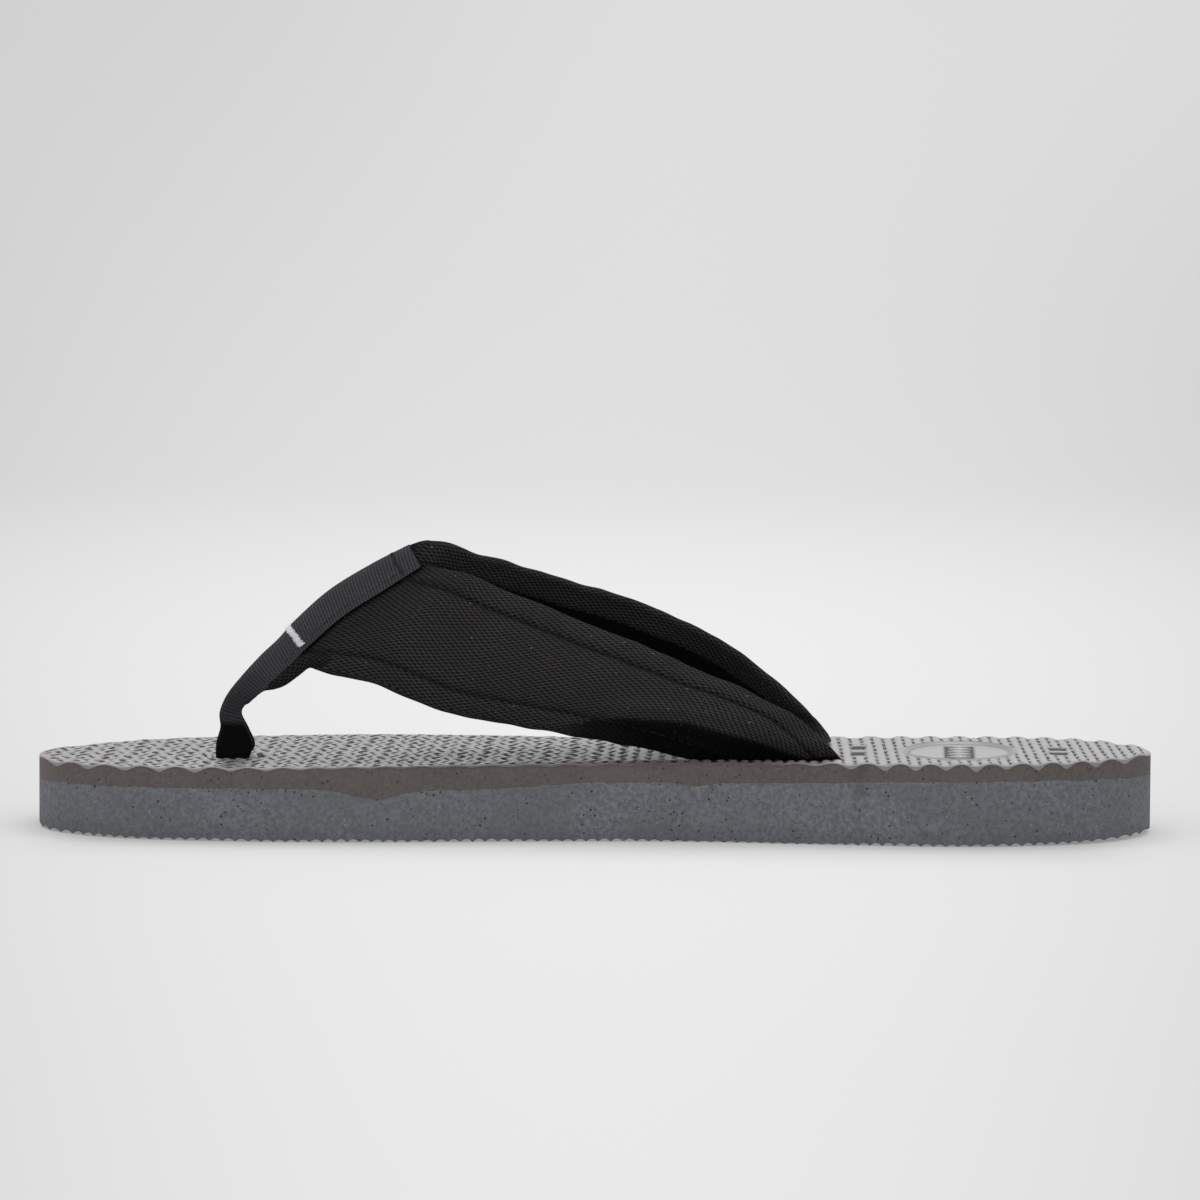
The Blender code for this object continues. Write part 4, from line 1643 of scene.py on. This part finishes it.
def stitch_row(line: np.ndarray, outward: Callable[[float], np.ndarray], pitch: float, length: float,
               thickness: float, lift: float) -> list[Stitch]:
    """Stitches end to end along a line.

    Args:
        line: the seam's points in mm.
        outward: which way is out of the cloth, from the share of the line's length.
        pitch: distance between the starts of stitches.
        length: length of the thread that shows.
        thickness: its thickness.
        lift: how far its middle stands over the line.

    Returns:
        The stitches.
    """
    along = distance_along(line)
    result = []
    for start in np.arange(pitch / 2, along[-1] - pitch / 2, pitch):
        run = points_at(start + length / 2, along, line) - points_at(start - length / 2, along, line)
        middle = points_at(start, along, line)
        result.append(Stitch(middle, run, outward(start / along[-1]), length, thickness, lift))
    return result


# ---------------------------------------------------------------------------------------------
# Strap wings
# ---------------------------------------------------------------------------------------------
Guide = tuple[tuple[float, float, float | None], ...]
# (x, distance out from the tape's middle plane, height), from the tape to the sole; the last
# height is on the sole's top
MEDIAL_GUIDES: tuple[Guide, Guide, Guide] = (
    ((-77.2, ROOT, 38.6), (-70.5, ROOT, 39.4), (-56.0, 7.4, 37.0), (-37.0, 15.3, 30.5),
     (-15.0, 22.5, 26.8), (5.0, 28.5, 24.0), (19.0, 31.4, 21.7), (28.0, 29.3, None)),
    ((-63.5, ROOT, 56.2), (-57.0, ROOT, 53.5), (-45.0, 8.0, 51.0), (-26.0, 16.2, 45.0),
     (-5.0, 24.0, 39.5), (16.0, 31.1, 34.0), (34.0, 35.4, 27.5), (45.0, 31.5, None)),
    ((-47.0, ROOT, 68.2), (-41.5, ROOT, 66.2), (-31.0, 6.4, 63.8), (-14.0, 12.9, 57.6),
     (6.0, 20.6, 50.6), (28.0, 27.8, 42.1), (50.5, 32.4, 32.0), (63.2, 30.6, None)),
)
LATERAL_GUIDES: tuple[Guide, Guide, Guide] = (
    ((-77.2, ROOT, 38.6), (-70.5, ROOT, 39.6), (-56.0, 8.0, 38.0), (-37.0, 17.0, 33.0),
     (-15.0, 25.0, 29.5), (4.0, 30.0, 26.0), (17.0, 31.5, 22.5), (26.0, 28.5, None)),
    ((-63.5, ROOT, 56.2), (-54.6, ROOT, 56.0), (-45.0, 8.0, 54.0), (-26.0, 18.0, 49.0),
     (-5.0, 26.0, 43.5), (14.0, 31.5, 37.0), (31.0, 33.5, 28.5), (42.0, 28.0, None)),
    ((-47.5, ROOT, 70.9), (-41.5, ROOT, 72.3), (-30.5, 7.8, 68.9), (-14.0, 15.9, 63.2),
     (6.0, 22.4, 56.8), (28.5, 27.2, 47.1), (46.5, 28.5, 34.2), (60.0, 25.2, None)),
)


@dataclass
class Wing:
    """One padded wing of the strap: canvas, lining and topstitching."""

    side: Side
    guides: tuple[Guide, Guide, Guide]
    seed: float
    columns: int = 230
    rows: int = 62
    edge_points: int = 9
    hem: float = 5.4
    body: float = 2.7
    sole_gap: float = 0.3
    edge_roll: float = 1.0
    edge_round: float = 4.0
    edge_thickness: float = 0.75
    seam_width: float = 0.32
    seam_shade: float = 0.8
    stitch_pitch: float = 2.45
    stitch_length: float = 2.0
    stitch_thickness: float = 0.28
    stitch_lift: float = 0.02
    lining_rows: int = 26
    lining_margin: float = 0.6
    tuck_depth: float = 5.0
    tuck_swell: float = 1.6

    @property
    def label(self) -> str:
        """The wing's name in the frame."""
        return self.side.name.lower()

    def guide_curve(self, guide: Guide) -> np.ndarray:
        """Follow one guide.

        Args:
            guide: its points.

        Returns:
            A point of the frame for each column.
        """
        known = [(x, out, float(sole_top(x)) + self.sole_gap if z is None else z) for x, out, z in guide]
        curve = smooth_curve(known, self.columns)
        out = np.maximum(curve[:, 1], ROOT)
        curve[:, 1] = fold_plane(curve[:, 0]) + self.side.value * out
        return curve

    def face(self) -> tuple[np.ndarray, np.ndarray, np.ndarray, np.ndarray]:
        """The wing's outer face before it is padded.

        Returns:
            Its points, outward normals, distance along and distance across, as [column, row].
        """
        lower, middle, upper = (self.guide_curve(g) for g in self.guides)
        height = np.linalg.norm(upper - lower, axis=1)
        inset = np.minimum(self.edge_roll / np.maximum(height, 1.0), 0.2)[:, None]
        v = (inset + (1 - 2 * inset) * np.linspace(0, 1, self.rows)[None, :])[..., None]
        grid = (lower[:, None] * (1 - v) * (1 - 2 * v) + middle[:, None] * 4 * v * (1 - v)
                + upper[:, None] * v * (2 * v - 1))
        share = np.linspace(0, 1, self.rows)[None, :]
        sway = 0.55 * soft_noise(grid[:, [0, -1]] * (1.0, 0.3, 0.3), 7.0, self.seed + 50.0)
        grid[..., 2] += sway[:, :1] * (1 - share) ** 3 + sway[:, 1:] * share ** 3
        normals = np.cross(np.gradient(grid, axis=0), np.gradient(grid, axis=1)) * -self.side.value
        normals /= np.linalg.norm(normals, axis=2, keepdims=True)
        step = np.linalg.norm(np.diff(grid, axis=1), axis=2)
        across = np.hstack([np.zeros((self.columns, 1)), np.cumsum(step, axis=1)])
        run = np.linalg.norm(np.diff(grid, axis=0), axis=2).mean(axis=1)
        along = np.concatenate([[0.0], np.cumsum(run)])[:, None] * np.ones(self.rows)
        return grid, normals, along, across

    def seam_depth(self, across: np.ndarray) -> np.ndarray:
        """How much a point lies in one of the two topstitched seams, from 0 to 1."""
        width = across[:, -1:]
        return np.maximum(bump(across, self.hem, 0.75), bump(width - across, self.hem, 0.75))

    def padding(self, grid: np.ndarray, along: np.ndarray,
                across: np.ndarray) -> tuple[np.ndarray, np.ndarray]:
        """How the wing swells between its seams.

        Args:
            grid: the guide surface, as [column, row].
            along: distance along it.
            across: distance across it.

        Returns:
            How far the outer face and the inner face lie out of the guide surface, in mm.
        """
        width = across[:, -1:]
        edge = np.minimum(across, width - across)
        seam = self.seam_depth(across)
        hem = np.sin(np.pi * np.clip(edge / self.hem, 0, 1)) ** 0.5
        hem *= ease(edge, self.hem + 0.5, self.hem - 0.5)
        inner = ease(edge, self.hem, self.hem + 5.0)
        pucker = np.sin(math.tau * along / self.stitch_pitch) * 0.10 * bump(edge, self.hem, 2.2)
        folds = 0.34 * soft_noise(grid * (0.6, 1.0, 1.3), 15.0, self.seed)
        folds += 0.13 * soft_noise(grid, 4.5, self.seed + 30)
        rear = ease(along, along.max() * 0.62, along.max() * 0.96)
        gather = 0.75 * rear * np.sin(math.tau * (across / width) * 2.3 + 0.9 + 0.02 * along)
        root = ease(along, 4.0, 12.0)
        out = root * (0.40 * hem + 0.55 * inner - 0.80 * seam + pucker + folds + gather)
        thick = self.edge_thickness + (self.body - self.edge_thickness) * root * (1.0 - 0.45 * seam)
        return out, out - thick - 0.25 * hem * root

    def tape_shadow(self, grid: np.ndarray) -> np.ndarray:
        """How dark the canvas is where it dives under the tape's rear edge.

        Args:
            grid: points of the wing, as [column, row].

        Returns:
            A share from 0 to 1 for each point.
        """
        rear = smooth_curve(TAPE_REAR, 160)
        flat = grid[..., [0, 2]].reshape(-1, 2)
        gap = np.sqrt(((flat[:, None] - rear[None]) ** 2).sum(axis=2).min(axis=1)).reshape(grid.shape[:2])
        return ease(gap, 1.5, 0.3)

    def turned_under(self, grid: np.ndarray) -> tuple[np.ndarray, np.ndarray]:
        """How the rear of the lower edge is turned under.

        Args:
            grid: the guide surface, as [column, row].

        Returns:
            How far each point moves in, in mm, and how much painted shadow it gets in the fold, from 0 to 1.
        """
        x = grid[..., 0]
        below = profile(TUCK_RIDGE, x) - grid[..., 2]
        amount = ease(x, -6.0, 12.0)
        inward = self.tuck_depth * ease(below, -0.3, 1.7) * amount
        swell = self.tuck_swell * bump(below, -2.4, 2.4) * amount
        # painted shadow in the turned-under fold, strongest at the rear
        fold_shadow = ease(below, -0.3, 0.6) * (0.80 + 0.2 * ease(x, 4.0, 16.0)) * ease(x, -12.0, 2.0)
        return inward - swell, fold_shadow

    def rolls(self, grid: np.ndarray, normals: np.ndarray, outer: np.ndarray,
              inner: np.ndarray) -> list[np.ndarray]:
        """The rolled edges that join the outer face to the inner one.

        Args:
            grid: the wing's middle surface, as [column, row].
            normals: its outward normals.
            outer: the outer face.
            inner: the inner face.

        Returns:
            The upper edge's points and the lower edge's.
        """
        reach = np.gradient(grid, axis=1)
        reach /= np.linalg.norm(reach, axis=2, keepdims=True)
        result = []
        for row, sign in ((-1, 1.0), (0, -1.0)):
            middle = (outer[:, row] + inner[:, row]) / 2
            radius = np.linalg.norm(outer[:, row] - inner[:, row], axis=1)[:, None] / 2
            arc = []
            for step in range(1, self.edge_points + 1):
                angle = math.pi * step / (self.edge_points + 1)
                lift = math.cos(angle) * sign
                arc.append(middle + normals[:, row] * radius * lift
                           + reach[:, row] * radius * math.sin(angle) * sign * 0.9)
            result.append(np.stack(arc, axis=1))
        return result

    def build_canvas(self) -> tuple[bpy.types.Object, dict[str, np.ndarray]]:
        """The canvas body with its rolled hems.

        Returns:
            The piece, and by name its faces, normals and distances, as [column, row].
        """
        grid, normals, along, across = self.face()
        out, inn = self.padding(grid, along, across)
        inward, fold_shadow = self.turned_under(grid)
        grid = grid + inward[..., None] * np.array([0.0, -self.side.value, -0.18])
        outer = grid + normals * out[..., None]
        inner = grid + normals * inn[..., None]
        upper, lower = self.rolls(grid, normals, outer, inner)
        sections = np.concatenate([outer, upper, inner[:, ::-1], lower], axis=1)
        width = across[:, -1:]
        turn = np.linspace(0, self.edge_round, self.edge_points + 2)[None, 1:-1]
        back = width + self.edge_round
        v = np.hstack([across, width + turn, back + (width - across[:, ::-1]), back + width + turn, 2 * back])
        # painted shade: dark lines in the seams' creases, the turned-under fold and the cloth under the
        # tape's rear edge
        edge = self.seam_shade * bump(np.minimum(across, width - across), self.hem, self.seam_width)
        seam = np.zeros(sections.shape[:2])
        seam[:, :self.rows] = np.maximum.reduce([edge, fold_shadow, self.tape_shadow(grid)])
        inner_start = self.rows + self.edge_points
        seam[:, inner_start:inner_start + self.rows] = edge[:, ::-1]
        seam[:, inner_start + self.rows:] = fold_shadow[:, :1]
        obj = swept(self.label + "_wing_canvas", sections, uv=together(along[:, :1], v),
                    attributes={"seam": seam}, sharp_degrees=80.0)
        return obj, {"outer": outer, "inner": inner, "normals": normals, "along": along, "across": across}

    def seam_line(self, parts: dict[str, np.ndarray], face: str,
                  upper: bool) -> tuple[np.ndarray, np.ndarray]:
        """Find one seam on one face of the wing.

        Args:
            parts: what build_canvas gave.
            face: outer or inner.
            upper: whether it is the upper hem's seam.

        Returns:
            Its points, and the outward direction at each.
        """
        across = parts["across"]
        sign = 1.0 if face == "outer" else -1.0
        line, out = [], []
        for i in range(12, self.columns - 6):
            width = across[i, -1]
            wanted = width - self.hem if upper else self.hem
            if width >= 2.5 * self.hem:
                line.append(points_at(wanted, across[i], parts[face][i]))
                out.append(sign * points_at(wanted, across[i], parts["normals"][i]))
        return np.array(line), np.array(out)

    def build_stitching(self, parts: dict[str, np.ndarray]) -> bpy.types.Object:
        """The topstitching along both hems, on both faces.

        Args:
            parts: what build_canvas gave.

        Returns:
            The piece.
        """
        stitches: list[Stitch] = []
        for face in ("outer", "inner"):
            for upper in (True, False):
                line, out = self.seam_line(parts, face, upper)

                def outward(share: float, out: np.ndarray = out) -> np.ndarray:
                    """Which way is out of the cloth at a share of the seam."""
                    return out[min(len(out) - 1, int(share * len(out)))]

                stitches.extend(stitch_row(line, outward, self.stitch_pitch, self.stitch_length,
                                           self.stitch_thickness, self.stitch_lift))
        return threads(self.label + "_topstitching", stitches)

    def build_lining(self, parts: dict[str, np.ndarray]) -> bpy.types.Object:
        """The lining between the hems, on the side of the foot.

        Args:
            parts: what build_canvas gave.

        Returns:
            The piece.
        """
        inner, normals, across = parts["inner"], parts["normals"], parts["across"]
        chosen = list(range(14, self.columns - 4, 2))
        margin = self.hem + self.lining_margin
        fall = np.sin(np.pi * np.linspace(0, 1, self.lining_rows)) ** 0.4
        lift = (0.12 + 0.38 * fall)[:, None]
        top, base, rows = [], [], []
        for i in chosen:
            wanted = np.linspace(margin, across[i, -1] - margin, self.lining_rows)
            line = points_at(wanted, across[i], inner[i])
            out = points_at(wanted, across[i], normals[i])
            top.append(line - out * lift)
            base.append(line + out * 0.25)
            rows.append(wanted)
        sections = np.concatenate([np.array(top), np.array(base)[:, ::-1]], axis=1)
        v = np.array(rows)
        uv = together(parts["along"][chosen, :1], np.hstack([v, v[:, ::-1] + 50.0, v[:, :1]]))
        return swept(self.label + "_wing_lining", sections, uv=uv, sharp_degrees=60.0)

    def build(self, canvas: bpy.types.Material, lining: bpy.types.Material,
              thread: bpy.types.Material) -> list[bpy.types.Object]:
        """Build, dress and place the wing's pieces.

        Args:
            canvas: the material of the outer cloth.
            lining: the material next to the foot.
            thread: the topstitching's.

        Returns:
            The pieces.
        """
        body, parts = self.build_canvas()
        body.data.materials.append(canvas)
        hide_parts(self.label + "_strap_outer", self.label + "_strap_padding")
        inside = self.build_lining(parts)
        inside.data.materials.append(lining)
        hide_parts(self.label + "_strap_lining")
        rows = self.build_stitching(parts)
        rows.data.materials.append(thread)
        pieces = [body, inside, rows]
        for piece in pieces:
            bend_with_strap(piece)
        return pieces


# ---------------------------------------------------------------------------------------------
# Studio
# ---------------------------------------------------------------------------------------------
@dataclass(frozen=True)
class SoftBox:
    """A rectangular light that points at a place, in metres and watts."""

    name: str
    place: tuple[float, float, float]
    aim: tuple[float, float, float]
    size: tuple[float, float]
    power: float

    def build(self) -> None:
        """Put the light in the scene."""
        data = bpy.data.lights.new(self.name, "AREA")
        data.shape = "RECTANGLE"
        data.size, data.size_y = self.size
        data.energy = self.power
        light = bpy.data.objects.new(self.name, data)
        light.location = self.place
        light.rotation_euler = (Vector(self.aim) - Vector(self.place)).to_track_quat("-Z", "Y").to_euler()
        bpy.context.scene.collection.objects.link(light)


@dataclass(frozen=True)
class Studio:
    """A pale floor that sweeps up behind, with a painted glow and painted shade on it, soft lights and the
    camera, in metres.
    """

    floor_color: Color = (0.52, 0.52, 0.525)
    # painted light: the floor glows, which lightens the shade under the sole and between the tread's ribs
    painted_floor_light: float = 0.297
    painted_light_color: Color = (1.0, 0.998, 0.998)
    floor_width: float = 9.0
    floor_length: float = 8.0
    floor_front: float = -3.0
    sweep_start: float = 1.6
    sweep_radius: float = 1.2
    camera_place: tuple[float, float, float] = (0.0789, -1.4412, 0.1603)
    camera_aim: tuple[float, float, float] = (0.0012, -0.002, 0.057)
    camera_roll: float = 0.34
    focal_mm: float = 171.93
    sky: float = 0.80
    boxes: tuple[SoftBox, ...] = (
        SoftBox("top_box", (0.1, 0.75, 1.6), (0.0, 0.0, 0.0), (1.4, 1.0), 10.0),
        SoftBox("front_box", (-0.5, -2.2, 0.7), (0.0, 0.0, 0.03), (1.6, 1.0), 5.0),
    )

    def painted_falloff(self, g: Graph, place: Signal) -> Signal:
        """Where painted shade darkens the studio: a fall-off towards the sides and behind, and a painted
        contact shadow under the sole.

        Args:
            g: the floor's material.
            place: object coordinates.

        Returns:
            How much darker, from 0 to 1.
        """
        across, depth, height = g.axes(place)
        spread = (across + depth * 0.054 - 0.001).math("DIVIDE", (depth + 1.44).math("MAXIMUM", 0.5))
        rise = height.ease(0.0, 0.30)
        # painted contact shadow round the sole
        contact_shadow = depth.ease(-0.090, -0.045) * depth.ease(0.085, 0.045)
        contact_shadow = contact_shadow * across.math("ABSOLUTE").ease(0.143, 0.116)
        side = (spread * spread * 8.5).math("MINIMUM", 0.12) * (1.0 - rise * 0.7)
        behind = depth.ease(0.1, 1.5) * 0.030 - rise * 0.020
        return side + behind + rise * (across * -1.0).ease(0.05, 0.45) * 0.085 + contact_shadow * 0.13

    def build_floor(self) -> None:
        """One sheet: floor in front, wall behind."""
        deselect_all()
        bpy.ops.mesh.primitive_grid_add(x_subdivisions=2, y_subdivisions=60, size=1.0)
        sweep = bpy.context.object
        sweep.name = "studio_sweep"
        start, radius = self.sweep_start, self.sweep_radius
        for vert in sweep.data.vertices:
            run = (vert.co.y + 0.5) * self.floor_length + self.floor_front
            turn = min(max(run - start, 0.0) / radius, math.pi / 2)
            rest = max(run - start - radius * math.pi / 2, 0.0)
            vert.co.x *= self.floor_width
            vert.co.y = min(run, start) + radius * math.sin(turn)
            vert.co.z = radius * (1 - math.cos(turn)) + rest
        bpy.ops.object.shade_smooth()
        g = Graph("studio_paper")
        place = g.place()
        mottle = g.noise(place, 0.9, 2.0)
        shade = g.mix(mottle.ease(0.3, 0.7), scaled(self.floor_color, 0.995), self.floor_color)
        # painted shade darkens both the paper's colour and its painted glow
        painted_shade = self.painted_falloff(g, place)
        paper = g.finish(Base_Color=g.mix(painted_shade, shade, (0.0, 0.0, 0.0)), Roughness=0.9, Specular_IOR_Level=0.0,
                         Emission_Color=g.mix(painted_shade, self.painted_light_color, (0.0, 0.0, 0.0)),
                         Emission_Strength=self.painted_floor_light)
        sweep.data.materials.append(paper)

    def build_lights(self) -> None:
        """An even sky, a big top light and a front fill."""
        world = bpy.data.worlds.new("studio_sky")
        world.use_nodes = True
        sky = world.node_tree.nodes["Background"]
        sky.inputs["Color"].default_value = (1.0, 1.0, 1.0, 1.0)
        sky.inputs["Strength"].default_value = self.sky
        bpy.context.scene.world = world
        for box in self.boxes:
            box.build()

    def build_camera(self) -> None:
        """The camera, a little above the floor and turned a little towards the heel."""
        data = bpy.data.cameras.new("camera")
        data.lens = self.focal_mm
        data.sensor_width = 36.0
        data.clip_start = 0.05
        data.clip_end = 50.0
        camera = bpy.data.objects.new("camera", data)
        place = Vector(self.camera_place)
        look = (Vector(self.camera_aim) - place).to_track_quat("-Z", "Y").to_matrix().to_4x4()
        roll = Matrix.Rotation(math.radians(self.camera_roll), 4, "Z")
        camera.matrix_world = Matrix.Translation(place) @ look @ roll
        bpy.context.scene.collection.objects.link(camera)
        bpy.context.scene.camera = camera

    def build(self) -> None:
        """Build the floor, lights and camera."""
        self.build_floor()
        self.build_lights()
        self.build_camera()
        bpy.context.scene.view_settings.view_transform = "Standard"


def main() -> None:
    """Build the flip flop's looks around the frame."""
    logging.basicConfig(level=logging.INFO, format="%(name)s: %(message)s")
    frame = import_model()
    Studio().build()
    plugs = [Plug("toe_plug", FOREFOOT), Plug("medial_plug", REARFOOT), Plug("lateral_plug", REARFOOT)]
    pieces = Sole().build(plugs)
    rubber = RubberFinish().material()
    pieces += [plug.build(rubber) for plug in plugs]
    tape = ToeTape()
    pieces += tape.build()
    canvas = CanvasFinish().material()
    lining = LiningFinish().material()
    thread = ThreadFinish("seam_thread", (0.014, 0.0135, 0.0145)).material()
    for side in Side:
        end = tape.build_hem_end(side)
        end.data.materials.append(canvas)
        pieces.append(end)
    for side, guides, seed in ((Side.MEDIAL, MEDIAL_GUIDES, 4.0), (Side.LATERAL, LATERAL_GUIDES, 17.0)):
        pieces += Wing(side, guides, seed).build(canvas, lining, thread)
    web = ThreadFinish("anchor_web", (0.012, 0.0115, 0.0125)).material()
    for name in ("medial_anchor_web", "lateral_anchor_web"):
        node = frame["nodes"][name]
        node.data.materials.clear()
        node.data.materials.append(web)
    for piece in pieces:
        LOG.info("%s: %d faces", piece.name, len(piece.data.polygons))


if __name__ == "__main__":
    main()
